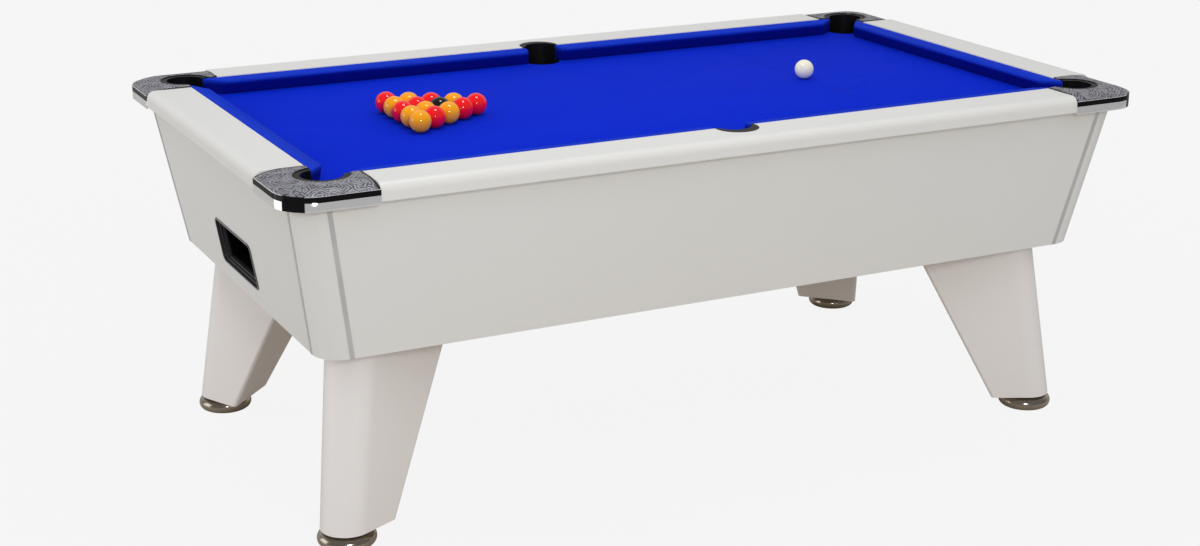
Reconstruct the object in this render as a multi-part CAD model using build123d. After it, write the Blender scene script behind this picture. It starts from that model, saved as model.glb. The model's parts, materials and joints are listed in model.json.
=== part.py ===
from build123d import *
import os
from math import sqrt

# Seven-foot slate-bed pool table with a ball-return window at one end. Millimetres.
# Origin on the floor under the table's centre, X along the length with the ball window at -X, Z up.
# Front is -Y, left is -X.

# Playing area, nose to nose, and height of the rail top above the floor
PLAY_LENGTH = 1830
PLAY_WIDTH = 915
TABLE_HEIGHT = 830

# Rails and cushions
RAIL_WIDTH = 108
RAIL_DEPTH = 39
RAIL_EDGE_RADIUS = 20
RAIL_FOOT_RADIUS = 4
CUSHION_WIDTH = 42
CUSHION_BACK_GAP = 0.2
CUSHION_TOP_DROP = 1
NOSE_HEIGHT = 30.5
NOSE_RISE = 4
NOSE_REACH = 7
CUSHION_CROWN = 0.6
CUSHION_UNDERCUT = 10
JAW_RADIUS = 18
CORNER_MOUTH_SETBACK = 62
MIDDLE_MOUTH = 94

# Slate, cloth and what carries them
SLATE_THICK = 19
SLATE_GAP = 4
CLOTH_THICK = 1
CLOTH_MARGIN = 0.5
BEARER_WIDTH = 45
BEARER_DEPTH = 70
BEARER_SHARES = (0.235, 0.704)
END_BEARER_WIDTH = 13
END_BEARER_POCKET_GAP = 44

# Pockets
BALL_DIAMETER = 50.8
CUE_BALL_DIAMETER = 47.6
POCKET_RADIUS = 44
POCKET_WALL = 3
CORNER_RIM_RADIUS = 57
MIDDLE_RIM_RADIUS = 50
RIM_THICK = 9
CORNER_POCKET_SETBACK = 34
MIDDLE_POCKET_SETBACK = 30
MIDDLE_RIM_OFFSET = 20
POCKET_TUBE_DROP = 7
FUNNEL_RADIUS = 30
FUNNEL_HEIGHT = 65
POCKET_GAP = 0.4

# Cabinet
RAIL_OVERHANG = 34
CABINET_SLOPE = 0.169
CABINET_DEPTH = 351
PANEL_THICK = 18
FLOOR_THICK = 18
FLOOR_GAP = 0.3
POST_RADIUS = 60
TRIM_WIDTH = 10
TRIM_DEPTH = 3
TRIM_PROUD = 1
CORNER_BLOCK_REACH = 92
CORNER_BLOCK_NOSE = 57
CORNER_BLOCK_HEIGHT = 72

# Corner caps
CAP_LENGTH = 197
CAP_CORNER_RADIUS = 80
CAP_DOME_REACH = 60
CAP_DOME_DROP = 13
CAP_WALL = 3
CAP_PROUD = 1.5
CAP_DROP = 3
CAP_GAP = 0.2
INLAY_THICK = 1.5
INLAY_PROUD = 0.4
INLAY_EDGE = 2
INLAY_END = 6
INLAY_RIM_MARGIN = 3

# Ball window in the left end
WINDOW_RISE = 96
BEZEL_WIDTH = 262
BEZEL_HEIGHT = 109
BEZEL_CORNER_RADIUS = 16
BEZEL_THICK = 2
BEZEL_FLANGE = 4
BEZEL_WALL = 2
BEZEL_STEP = 2.5
BEZEL_STEPS = 3

# Ball runs and tray
RUN_WIDTH = 60
RUN_WALL = 4
RUN_WALL_HEIGHT = 55
RUN_TOP_GAP = 7
RUN_SIDE_GAP = 15
RUN_END_GAP = 27
RUN_FALL = 50
RUN_STEP_DOWN = 5
CROSS_RUN_GAP = 5
CROSS_RUN_OVERRUN = 2
CROSS_RUN_FALL = 40
TRAY_WIDTH = 250
TRAY_DEPTH = 130
TRAY_WALL = 6
TRAY_RISE = 42
TRAY_FLOOR_RISE = 8
UPRIGHT_THICK = 18
UPRIGHT_WIDTH = 44
UPRIGHT_SHARES = (0.2, 0.55, 0.9)
CROSS_UPRIGHT_SHARE = 0.635

# Legs, each a teardrop in plan whose nose points out at the table's corner
LEG_FOOT_INSET_X = 156
LEG_FOOT_INSET_Y = 164
LEG_BOTTOM = 35
LEG_SPLAY = 52
LEG_BOTTOM_NOSE_RADIUS = 57.5
LEG_TOP_NOSE_RADIUS = 64
LEG_BOTTOM_REACH = 66
LEG_TOP_REACH = 202
LEG_BOTTOM_SPREAD = 150
LEG_TOP_SPREAD = 248
LEG_EDGE_RADIUS = 8
LEG_PLATE_THICK = 15
LEG_PLATE_MARGIN = 15
LEG_BOLT_SHARE = 0.7

# Levelling feet
FOOT_RADIUS = 64
FOOT_BULGE_HEIGHT = 10
FOOT_BASE_RADIUS = 56
FOOT_SHOULDER_RADIUS = 50
FOOT_SHOULDER_HEIGHT = 29
FOOT_HUB_RADIUS = 36
FOOT_STEM_RADIUS = 6
FOOT_STEM_LENGTH = 55
INSERT_RADIUS = 12
INSERT_LENGTH = 60
INSERT_GAP = 0.3

# Fasteners
RAIL_BOLT_RADIUS = 4
RAIL_BOLT_GRIP = 25
RAIL_BOLT_HOLE_GAP = 0.5
RAIL_BOLT_SHARES = (0.23, 0.58, 0.945)
END_RAIL_BOLT_SHARES = (-0.73, 0, 0.73)
RAIL_BOLT_INSET = 22
END_RAIL_BOLT_INSET = 12
BOLT_HEAD_RADIUS = 7.5
BOLT_HEAD_HEIGHT = 5.5
WASHER_RADIUS = 10
WASHER_THICK = 2
LEG_BOLT_RADIUS = 5
LEG_BOLT_GRIP = 50
LEG_BOLT_HOLE_GAP = 0.5
LEG_BOLT_HEAD_RADIUS = 9.5
LEG_WASHER_RADIUS = 13
SCREW_RADIUS = 3
SCREW_LENGTH = 55
SCREW_HEAD_RADIUS = 6.5
SCREW_GAP = 0.2
SCREW_SHARES = (-0.5, 0.5)

# Balls: the rack's apex points at the cue ball, and rows are listed from the back side to the front
RACK_APEX_SHARE = -0.2186
RACK_PITCH = 52.5
RACK_ROWS = ("R", "YR", "RBY", "YRYR", "RYRYY")
CUE_BALL_SHARE = 0.2732
BALL_LIFT = 0.3

# Sizes that follow
HALF_LENGTH = PLAY_LENGTH / 2 + CUSHION_WIDTH + RAIL_WIDTH
HALF_WIDTH = PLAY_WIDTH / 2 + CUSHION_WIDTH + RAIL_WIDTH
RAIL_INNER_X = HALF_LENGTH - RAIL_WIDTH
RAIL_INNER_Y = HALF_WIDTH - RAIL_WIDTH
RAIL_BOTTOM = TABLE_HEIGHT - RAIL_DEPTH
SLATE_BOTTOM = RAIL_BOTTOM - SLATE_THICK
CLOTH_TOP = RAIL_BOTTOM + CLOTH_THICK
CABINET_BOTTOM = RAIL_BOTTOM - CABINET_DEPTH
FLOOR_TOP = CABINET_BOTTOM + FLOOR_THICK
WINDOW_HEIGHT = CABINET_BOTTOM + WINDOW_RISE
LEG_FOOT_X = HALF_LENGTH - LEG_FOOT_INSET_X
LEG_FOOT_Y = HALF_WIDTH - LEG_FOOT_INSET_Y
LEG_TOP = CABINET_BOTTOM - LEG_PLATE_THICK
CORNER_POCKET_X = PLAY_LENGTH / 2 + CORNER_POCKET_SETBACK
CORNER_POCKET_Y = PLAY_WIDTH / 2 + CORNER_POCKET_SETBACK
MIDDLE_POCKET_Y = PLAY_WIDTH / 2 + MIDDLE_POCKET_SETBACK
MIDDLE_RIM_Y = MIDDLE_POCKET_Y + MIDDLE_RIM_OFFSET
POCKET_BORE = POCKET_RADIUS + POCKET_WALL + POCKET_GAP
TUBE_BOTTOM = SLATE_BOTTOM - POCKET_TUBE_DROP
SLEEVE_DEPTH = PANEL_THICK / sqrt(1 + CABINET_SLOPE**2)
CAP_TOP = TABLE_HEIGHT + CAP_PROUD
RAIL_END_X = HALF_LENGTH - CAP_LENGTH
RAIL_END_Y = HALF_WIDTH - CAP_LENGTH
RUN_HALF = RUN_WIDTH / 2 + RUN_WALL
RUN_HIGH_FLOOR = SLATE_BOTTOM - BEARER_DEPTH - RUN_TOP_GAP - RUN_WALL_HEIGHT
RUN_LOW_FLOOR = RUN_HIGH_FLOOR - RUN_FALL
CROSS_RUN_HIGH = RUN_LOW_FLOOR - RUN_STEP_DOWN
CROSS_RUN_LOW = CROSS_RUN_HIGH - CROSS_RUN_FALL
TRAY_FLOOR = FLOOR_TOP + TRAY_RISE
TRAY_TOP = CROSS_RUN_LOW - RUN_WALL
CUE_BALL_X = CUE_BALL_SHARE * PLAY_LENGTH
RACK_ROW_STEP = RACK_PITCH * sqrt(3) / 2
CORNERS = {"front_left": (-1, -1), "front_right": (1, -1), "back_left": (-1, 1), "back_right": (1, 1)}
SIDES = {"front": -1, "back": 1}
FAR = 4 * HALF_LENGTH

os.makedirs("parts", exist_ok=True)


def save(node, *shapes):
    solids = [solid for shape in shapes for solid in shape.solids()]
    export_step(solids[0] if len(solids) == 1 else Compound(solids), f"parts/{node}.step")


def to_corner(shape, sx, sy):
    """A piece modelled in the back right quarter, mirrored into another quarter."""
    if sx < 0:
        shape = mirror(shape, about=Plane.YZ)
    if sy < 0:
        shape = mirror(shape, about=Plane.XZ)
    return shape


def prism(points, along):
    """Flat polygon swept straight along a vector."""
    return Solid.extrude(make_face(Polyline(*points, close=True)).face(), Vector(*along))


def slab(plan, low, high):
    """Flat plan raised into a block between two heights."""
    return Solid.extrude(plan.faces()[0].moved(Location((0, 0, low))), Vector(0, 0, high - low))


def block(low, high):
    """Box between two opposite corners."""
    size = [b - a for a, b in zip(low, high)]
    return Pos(*low) * Box(*size, align=(Align.MIN, Align.MIN, Align.MIN))


def rod(x, y, low, high, radius):
    return Pos(x, y, low) * Cylinder(radius, high - low, align=(Align.CENTER, Align.CENTER, Align.MIN))


def rounded_hull(*circles):
    """Outline drawn tight round circles (x, y, radius) that are listed anticlockwise."""
    sides = []
    for (x1, y1, r1), (x2, y2, r2) in zip(circles, circles[1:] + circles[:1]):
        run = Vector(x2 - x1, y2 - y1)
        along = run.normalized()
        lean = (r1 - r2) / run.length
        out = Vector(along.Y, -along.X) * sqrt(1 - lean**2) + along * lean
        sides.append((Vector(x1, y1) + out * r1, Vector(x2, y2) + out * r2, out))
    edges = []
    for (start, end, out), (next_start, _, next_out), circle in zip(
        sides, sides[1:] + sides[:1], circles[1:] + circles[:1]
    ):
        middle = Vector(circle[0], circle[1]) + (out + next_out).normalized() * circle[2]
        edges += [Line(start, end), ThreePointArc(end, middle, next_start)]
    return make_face(edges)


def cabinet_half(z):
    """Half length and half width of the cabinet's outside at a height."""
    inset = RAIL_OVERHANG + CABINET_SLOPE * (RAIL_BOTTOM - z)
    return HALF_LENGTH - inset, HALF_WIDTH - inset


def cabinet_rise(low, high):
    """Vector from a point on a corner of the cabinet to the same point higher up."""
    rise = high - low
    return CABINET_SLOPE * rise, CABINET_SLOPE * rise, rise


# The runs keep their gaps to the sloping walls
RUN_START_X = cabinet_half(RUN_HIGH_FLOOR - RUN_WALL)[0] - PANEL_THICK - RUN_END_GAP
RUN_Y = cabinet_half(RUN_LOW_FLOOR - RUN_WALL)[1] - PANEL_THICK - RUN_SIDE_GAP - RUN_HALF
CROSS_RUN_X = cabinet_half(TRAY_TOP)[0] - PANEL_THICK - CROSS_RUN_GAP - RUN_HALF
CROSS_RUN_OUTER_Y = RUN_Y + RUN_WIDTH / 2 + CROSS_RUN_OVERRUN
RUN_END_X = RUN_HALF - CROSS_RUN_X


# Cabinet


def side_panel():
    (l0, w0), (l1, w1) = cabinet_half(CABINET_BOTTOM), cabinet_half(RAIL_BOTTOM)
    end = POST_RADIUS + TRIM_WIDTH
    outline = [
        (end - l0, w0, CABINET_BOTTOM),
        (l0 - end, w0, CABINET_BOTTOM),
        (l1 - end, w1, RAIL_BOTTOM),
        (end - l1, w1, RAIL_BOTTOM),
    ]
    return prism(outline, (0, -PANEL_THICK, 0))


def end_panel():
    (l0, w0), (l1, w1) = cabinet_half(CABINET_BOTTOM), cabinet_half(RAIL_BOTTOM)
    end = POST_RADIUS + TRIM_WIDTH
    outline = [
        (l0, end - w0, CABINET_BOTTOM),
        (l0, w0 - end, CABINET_BOTTOM),
        (l1, w1 - end, RAIL_BOTTOM),
        (l1, end - w1, RAIL_BOTTOM),
    ]
    return prism(outline, (-PANEL_THICK, 0, 0))


def corner_post():
    """Curved post with a rebate at each end for its trim strip."""
    half_l, half_w = cabinet_half(CABINET_BOTTOM)

    def at(u, v):
        return half_l - u, half_w - v, CABINET_BOTTOM

    def arc(radius, start, end):
        diagonal = POST_RADIUS - radius / sqrt(2)
        return ThreePointArc(at(*start), at(diagonal, diagonal), at(*end))

    far = POST_RADIUS + TRIM_WIDTH
    outside = POST_RADIUS
    inside = PANEL_THICK
    section = make_face([
        Polyline(at(far, TRIM_DEPTH), at(outside, TRIM_DEPTH), at(outside, 0)),
        arc(outside, (outside, 0), (0, outside)),
        Polyline(at(0, outside), at(TRIM_DEPTH, outside), at(TRIM_DEPTH, far)),
        Polyline(at(TRIM_DEPTH, far), at(inside, far), at(inside, outside)),
        arc(outside - inside, (inside, outside), (outside, inside)),
        Polyline(at(outside, inside), at(far, inside), at(far, TRIM_DEPTH)),
    ])
    return Solid.extrude(section.face(), Vector(*cabinet_rise(CABINET_BOTTOM, RAIL_BOTTOM)))


def trim_pair():
    """The two strips that cover one post's joints with its panels."""
    half_l, half_w = cabinet_half(CABINET_BOTTOM)
    near, far = POST_RADIUS, POST_RADIUS + TRIM_WIDTH
    section = [(near, -TRIM_PROUD), (far, -TRIM_PROUD), (far, TRIM_DEPTH), (near, TRIM_DEPTH)]
    rise = cabinet_rise(CABINET_BOTTOM, RAIL_BOTTOM)
    on_side = prism([(half_l - u, half_w - v, CABINET_BOTTOM) for u, v in section], rise)
    on_end = prism([(half_l - v, half_w - u, CABINET_BOTTOM) for u, v in section], rise)
    return [on_side, on_end]


def corner_block():
    """Glue block inside a corner, standing on the cabinet floor."""
    half_l, half_w = cabinet_half(FLOOR_TOP)
    wall = PANEL_THICK
    near, far = wall + CORNER_BLOCK_NOSE, wall + CORNER_BLOCK_REACH
    waist = wall + CORNER_BLOCK_REACH - CORNER_BLOCK_NOSE
    section = [(near, wall), (far, wall), (far, waist), (waist, far), (wall, far), (wall, near)]
    points = [(half_l - u, half_w - v, FLOOR_TOP) for u, v in section]
    return prism(points, cabinet_rise(FLOOR_TOP, FLOOR_TOP + CORNER_BLOCK_HEIGHT))


def cabinet_floor():
    half_l, half_w = cabinet_half(CABINET_BOTTOM)
    inset = PANEL_THICK + FLOOR_GAP
    plan = RectangleRounded(2 * (half_l - inset), 2 * (half_w - inset), POST_RADIUS - PANEL_THICK)
    board = slab(plan, CABINET_BOTTOM, FLOOR_TOP)
    for sx, sy in CORNERS.values():
        for x, y in leg_bolt_places():
            board -= rod(sx * x, sy * y, CABINET_BOTTOM, FLOOR_TOP, LEG_BOLT_RADIUS + LEG_BOLT_HOLE_GAP)
    return board


def bearer_places():
    return [side * share * HALF_LENGTH for share in BEARER_SHARES for side in (-1, 1)]


def slate_bearers():
    low = SLATE_BOTTOM - BEARER_DEPTH
    low_l, low_w = (half - PANEL_THICK for half in cabinet_half(low))
    top_l, top_w = (half - PANEL_THICK for half in cabinet_half(SLATE_BOTTOM))
    bearers = []
    outline = [(-low_w, low), (low_w, low), (top_w, SLATE_BOTTOM), (-top_w, SLATE_BOTTOM)]
    for x in bearer_places():
        start = x - BEARER_WIDTH / 2
        bearers.append(prism([(start, y, z) for y, z in outline], (BEARER_WIDTH, 0, 0)))
    inner = low_l - END_BEARER_WIDTH
    outline = [(inner, low), (low_l, low), (top_l, SLATE_BOTTOM), (inner, SLATE_BOTTOM)]
    reach = CORNER_POCKET_Y - POCKET_BORE - END_BEARER_POCKET_GAP
    ledge = prism([(x, -reach, z) for x, z in outline], (0, 2 * reach, 0))
    screws = [slate_screw(x, y) for x, y in slate_screw_places()]
    return [bearer - screws for bearer in bearers] + [ledge, mirror(ledge, about=Plane.YZ)]


# Ball window


def window_plane():
    half_l = cabinet_half(WINDOW_HEIGHT)[0]
    return Plane((-half_l, 0, WINDOW_HEIGHT), x_dir=(0, 1, 0), z_dir=(-1, 0, -CABINET_SLOPE))


def window_block(inset, near, far):
    """Rounded block through the window, drawn in by inset and running from far to near along its axis."""
    plan = RectangleRounded(BEZEL_WIDTH - 2 * inset, BEZEL_HEIGHT - 2 * inset, BEZEL_CORNER_RADIUS - inset)
    solid = Solid.extrude(plan.faces()[0].moved(Location((0, 0, near))), Vector(0, 0, far - near))
    return window_plane() * solid


def window_bezel():
    """Flange on the panel's face and a sleeve through the panel, drawn in by steps towards its back."""
    frame = window_block(0, 0, BEZEL_THICK) + window_block(BEZEL_FLANGE - BEZEL_WALL, -SLEEVE_DEPTH, 0)
    for step in range(BEZEL_STEPS):
        depth = SLEEVE_DEPTH * (step + 1) / BEZEL_STEPS
        frame -= window_block(BEZEL_FLANGE + step * BEZEL_STEP, -depth, BEZEL_THICK)
    return frame


def window_panel():
    hole = window_block(BEZEL_FLANGE - BEZEL_WALL - CAP_GAP, -2 * SLEEVE_DEPTH, SLEEVE_DEPTH)
    return mirror(end_panel(), about=Plane.YZ) - hole


# Bed


def pocket_notches(low, high):
    """Openings for the six pockets through a flat layer, run out to the layer's edge."""
    cuts = []
    for sx, sy in CORNERS.values():
        x, y = CORNER_POCKET_X, CORNER_POCKET_Y
        notch = rod(x, y, low, high, POCKET_BORE)
        notch += block((x, y - POCKET_BORE, low), (FAR, FAR, high))
        notch += block((x - POCKET_BORE, y, low), (FAR, FAR, high))
        cuts.append(to_corner(notch, sx, sy))
    for side in SIDES.values():
        notch = rod(0, MIDDLE_POCKET_Y, low, high, POCKET_BORE)
        notch += block((-POCKET_BORE, MIDDLE_POCKET_Y, low), (POCKET_BORE, FAR, high))
        cuts.append(to_corner(notch, 1, side))
    return cuts


def slate_bed():
    half_l, half_w = (half - PANEL_THICK - SLATE_GAP for half in cabinet_half(SLATE_BOTTOM))
    slate = block((-half_l, -half_w, SLATE_BOTTOM), (half_l, half_w, RAIL_BOTTOM))
    slate -= pocket_notches(SLATE_BOTTOM, RAIL_BOTTOM)
    hole = RAIL_BOLT_RADIUS + RAIL_BOLT_HOLE_GAP
    slate -= [rod(x, y, SLATE_BOTTOM, RAIL_BOTTOM, hole) for x, y in rail_bolt_places()]
    return slate - [slate_screw(x, y, SCREW_GAP) for x, y in slate_screw_places()]


def bed_cloth():
    half_l, half_w = RAIL_INNER_X - CLOTH_MARGIN, RAIL_INNER_Y - CLOTH_MARGIN
    cloth = block((-half_l, -half_w, RAIL_BOTTOM), (half_l, half_w, CLOTH_TOP))
    return cloth - pocket_notches(RAIL_BOTTOM, CLOTH_TOP)


# Rails and cushions


def rail_section(across, length):
    """Rail profile swept along a rail; across turns distance out from the inner face and height into a point."""
    out, top = RAIL_WIDTH, RAIL_DEPTH
    edge, foot = RAIL_EDGE_RADIUS, RAIL_FOOT_RADIUS
    near = 1 - 1 / sqrt(2)
    shoulder = across(out - edge * near, top - edge * near)
    profile = make_face([
        Polyline(across(out - foot, 0), across(0, 0), across(0, top), across(out - edge, top)),
        ThreePointArc(across(out - edge, top), shoulder, across(out, top - edge)),
        Line(across(out, top - edge), across(out, foot)),
        ThreePointArc(across(out, foot), across(out - foot * near, foot * near), across(out - foot, 0)),
    ])
    return Solid.extrude(profile.face(), Vector(*length))


def bolt_hole(x, y):
    return rod(x, y, RAIL_BOTTOM, RAIL_BOTTOM + RAIL_BOLT_GRIP, RAIL_BOLT_RADIUS)


def long_rail():
    start = -RAIL_END_X + CAP_GAP
    rail = rail_section(lambda d, z: (start, RAIL_INNER_Y + d, RAIL_BOTTOM + z), (-2 * start, 0, 0))
    rail -= rod(0, MIDDLE_POCKET_Y, RAIL_BOTTOM, FAR, POCKET_BORE)
    rail -= rod(0, MIDDLE_RIM_Y, TABLE_HEIGHT - RIM_THICK, FAR, MIDDLE_RIM_RADIUS + POCKET_GAP)
    return rail - [bolt_hole(x, y) for x, y in rail_bolt_places() if y > RAIL_INNER_Y]


def end_rail():
    start = -RAIL_END_Y + CAP_GAP
    rail = rail_section(lambda d, z: (RAIL_INNER_X + d, start, RAIL_BOTTOM + z), (0, -2 * start, 0))
    return rail - [bolt_hole(x, y) for x, y in rail_bolt_places() if x > RAIL_INNER_X]


def cushion_bar(across, length):
    """Cushion profile swept along its rail: crowned top, round nose and a face that falls back to the bed."""
    back, top = CUSHION_WIDTH - CUSHION_BACK_GAP, RAIL_DEPTH - CUSHION_TOP_DROP
    low = CLOTH_THICK + BALL_LIFT
    brow = NOSE_HEIGHT + NOSE_RISE
    chin = NOSE_HEIGHT - NOSE_RISE
    crown = (brow + top) / 2 + CUSHION_CROWN
    profile = make_face([
        Polyline(across(CUSHION_UNDERCUT, low), across(back, low), across(back, top)),
        ThreePointArc(across(back, top), across((back + NOSE_REACH) / 2, crown), across(NOSE_REACH, brow)),
        ThreePointArc(across(NOSE_REACH, brow), across(0, NOSE_HEIGHT), across(NOSE_REACH / 3, chin)),
        Line(across(NOSE_REACH / 3, chin), across(CUSHION_UNDERCUT, low)),
    ])
    return Solid.extrude(profile.face(), Vector(*length))


def bore_end(setback):
    """How far along the rail's inner edge a pocket's bore reaches from the pocket's centre."""
    return sqrt(POCKET_RADIUS**2 - setback**2)


def jaw_plan(nose, back):
    """Plan of a cushion from its nose line to its back line, with its two jaws rounded at the nose."""
    outline = make_face(Polyline(*nose, *back, close=True))
    tips = [v for v in outline.vertices() if any((Vector(*p) - v.center()).length < CAP_GAP for p in nose)]
    return fillet(tips, JAW_RADIUS)


def side_cushion():
    """Cushion between a middle pocket and a corner pocket, in the back right quarter."""
    nose_y, back_y = PLAY_WIDTH / 2, RAIL_INNER_Y
    nose = [(MIDDLE_MOUTH / 2, nose_y), (PLAY_LENGTH / 2 - CORNER_MOUTH_SETBACK, nose_y)]
    corner_back = CORNER_POCKET_X - bore_end(RAIL_INNER_Y - CORNER_POCKET_Y)
    middle_back = bore_end(MIDDLE_POCKET_Y - RAIL_INNER_Y)
    plan = jaw_plan(nose, [(corner_back, back_y), (middle_back, back_y)])
    bar = cushion_bar(lambda d, z: (0, nose_y + d, RAIL_BOTTOM + z), (CORNER_POCKET_X, 0, 0))
    return bar & slab(plan, RAIL_BOTTOM, TABLE_HEIGHT)


def end_cushion():
    nose_x, back_x = PLAY_LENGTH / 2, RAIL_INNER_X
    reach = PLAY_WIDTH / 2 - CORNER_MOUTH_SETBACK
    back_reach = CORNER_POCKET_Y - bore_end(RAIL_INNER_X - CORNER_POCKET_X)
    plan = jaw_plan([(nose_x, reach), (nose_x, -reach)], [(back_x, -back_reach), (back_x, back_reach)])
    start = -CORNER_POCKET_Y
    bar = cushion_bar(lambda d, z: (nose_x + d, start, RAIL_BOTTOM + z), (0, -2 * start, 0))
    return bar & slab(plan, RAIL_BOTTOM, TABLE_HEIGHT)


# Pockets


def pocket_liner(x, y, rim_y, rim_radius, rim_top, foot_x):
    """Rim, tube and funnel of one pocket, before its mouth is opened."""
    outer = POCKET_RADIUS + POCKET_WALL
    funnel_bottom = TUBE_BOTTOM - FUNNEL_HEIGHT
    rim_low = TABLE_HEIGHT - RIM_THICK + POCKET_GAP
    rim = rod(x, rim_y, rim_low, rim_top, rim_radius)
    rim = fillet(rim.edges().group_by(Axis.Z)[-1], POCKET_WALL)
    body = rim + rod(x, y, TUBE_BOTTOM, rim_low, outer)
    bore = rod(x, y, TUBE_BOTTOM, rim_top, POCKET_RADIUS)

    def cone(wall):
        high = Pos(x, y, TUBE_BOTTOM) * Circle(POCKET_RADIUS + wall)
        low = Pos(foot_x, RUN_Y, funnel_bottom) * Circle(FUNNEL_RADIUS + wall)
        return loft([high, low])

    return body + cone(POCKET_WALL) - bore - cone(0)


def corner_liner():
    x, y = CORNER_POCKET_X, CORNER_POCKET_Y
    liner = pocket_liner(x, y, y, CORNER_RIM_RADIUS, CAP_TOP - CAP_PROUD, CROSS_RUN_X)
    mouth = block((0, 0, RAIL_BOTTOM), (RAIL_INNER_X, RAIL_INNER_Y, FAR))
    return liner - mouth


def middle_liner():
    liner = pocket_liner(0, MIDDLE_POCKET_Y, MIDDLE_RIM_Y, MIDDLE_RIM_RADIUS, TABLE_HEIGHT + POCKET_GAP, 0)
    mouth = block((-FAR, 0, RAIL_BOTTOM), (FAR, RAIL_INNER_Y, FAR))
    return liner - mouth


# Corner caps


def cap_plan(outer_inset, end_inset, hole_radius):
    """L-shaped plan over a corner of the rails, rounded outside and bored for the pocket."""
    x1, y1 = HALF_LENGTH + CAP_PROUD - outer_inset, HALF_WIDTH + CAP_PROUD - outer_inset
    x0, y0 = RAIL_END_X + end_inset, RAIL_END_Y + end_inset
    radius = CAP_CORNER_RADIUS - outer_inset
    slant = radius * (1 - 1 / sqrt(2))
    outline = make_face([
        Polyline((x1, y1 - radius), (x1, y0), (RAIL_INNER_X, y0), (RAIL_INNER_X, RAIL_INNER_Y)),
        Polyline((RAIL_INNER_X, RAIL_INNER_Y), (x0, RAIL_INNER_Y), (x0, y1), (x1 - radius, y1)),
        ThreePointArc((x1 - radius, y1), (x1 - slant, y1 - slant), (x1, y1 - radius)),
    ])
    return outline - Pos(CORNER_POCKET_X, CORNER_POCKET_Y) * Circle(hole_radius)


def cap_form(inset, low, hole_radius):
    """Block over a corner, drawn in by inset at its outside and top; its top falls in an arc to the outside."""
    x0, y0 = RAIL_END_X, RAIL_END_Y
    x1, y1 = HALF_LENGTH + CAP_PROUD - inset, HALF_WIDTH + CAP_PROUD - inset
    radius = CAP_CORNER_RADIUS - inset
    xc, yc = x1 - radius, y1 - radius
    top = CAP_TOP - inset
    reach, drop = CAP_DOME_REACH, CAP_DOME_DROP
    dome_radius = (reach**2 + drop**2) / (2 * drop)
    half_drop = dome_radius - sqrt(dome_radius**2 - (reach / 2) ** 2)

    def section(across, width):
        """Cross-section as a face; across turns distance in from the outside and height into a point."""
        edge, crest = across(0, top - drop), across(reach, top)
        return make_face([
            ThreePointArc(edge, across(reach / 2, top - half_drop), crest),
            Polyline(crest, across(width, top), across(width, low), across(0, low), edge),
        ]).face()

    arm_x = Solid.extrude(section(lambda d, z: (x0, y1 - d, z), y1 - RAIL_INNER_Y), Vector(xc - x0, 0, 0))
    arm_y = Solid.extrude(section(lambda d, z: (x1 - d, y0, z), x1 - RAIL_INNER_X), Vector(0, yc - y0, 0))
    corner = revolve(section(lambda d, z: (x1 - d, yc, z), radius), Axis((xc, yc, 0), (0, 0, 1)), 90)
    form = arm_x + arm_y + corner
    return form - rod(CORNER_POCKET_X, CORNER_POCKET_Y, low, FAR, hole_radius)


def inlay():
    """Textured plate let into a cap's top, following its fall."""
    hole = CORNER_RIM_RADIUS + INLAY_RIM_MARGIN
    plate = cap_form(-INLAY_PROUD, RAIL_BOTTOM, hole) - cap_form(INLAY_THICK - INLAY_PROUD, RAIL_BOTTOM, hole)
    return plate & slab(cap_plan(INLAY_EDGE, INLAY_END, hole), RAIL_BOTTOM, FAR)


def corner_cap():
    """Thin plated shell over a corner, open underneath and at its two ends."""
    low = RAIL_BOTTOM - CAP_DROP
    hole = CORNER_RIM_RADIUS + POCKET_GAP
    shell = cap_form(0, low, hole) - cap_form(CAP_WALL, low, hole)
    return shell - inlay()


def rail_corner_block():
    """Timber block under a cap that joins two rails and holds the pocket liner."""
    body = cap_form(CAP_WALL + POCKET_GAP, RAIL_BOTTOM, POCKET_BORE)
    rim_seat = TABLE_HEIGHT - RIM_THICK
    return body - rod(CORNER_POCKET_X, CORNER_POCKET_Y, rim_seat, FAR, CORNER_RIM_RADIUS + POCKET_GAP)


# Ball return


def run_floor(x):
    """Height of a long run's floor at a place along the table."""
    share = (RUN_START_X - x) / (RUN_START_X - RUN_END_X)
    return RUN_HIGH_FLOOR - share * (RUN_HIGH_FLOOR - RUN_LOW_FLOOR)


def cross_floor(y):
    share = (CROSS_RUN_OUTER_Y - y) / (CROSS_RUN_OUTER_Y - TRAY_WIDTH / 2)
    return CROSS_RUN_HIGH - share * CROSS_RUN_FALL


def trough(centre, floor, left=True, right=True):
    """Section of an open trough as (across, height) points."""
    inner, outer = RUN_WIDTH / 2, RUN_WIDTH / 2 + RUN_WALL
    top = floor + RUN_WALL_HEIGHT
    under = floor - RUN_WALL
    section = [(centre - outer, under), (centre + outer, under)]
    section += [(centre + outer, top), (centre + inner, top)] if right else [(centre + outer, floor)]
    section += [(centre + inner, floor)] if right else []
    section += [(centre - inner, floor)] if left else []
    section += [(centre - inner, top), (centre - outer, top)] if left else [(centre - outer, floor)]
    return section


def long_run():
    section = [(RUN_START_X, y, z) for y, z in trough(RUN_Y, RUN_HIGH_FLOOR)]
    run = prism(section, (RUN_END_X - RUN_START_X, 0, RUN_LOW_FLOOR - RUN_HIGH_FLOOR))
    half = RUN_WIDTH / 2
    stop_x = RUN_START_X - RUN_WALL
    stop = block(
        (stop_x, RUN_Y - half, RUN_HIGH_FLOOR - RUN_WALL),
        (RUN_START_X, RUN_Y + half, RUN_HIGH_FLOOR + RUN_WALL_HEIGHT),
    )
    return run + stop


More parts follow.
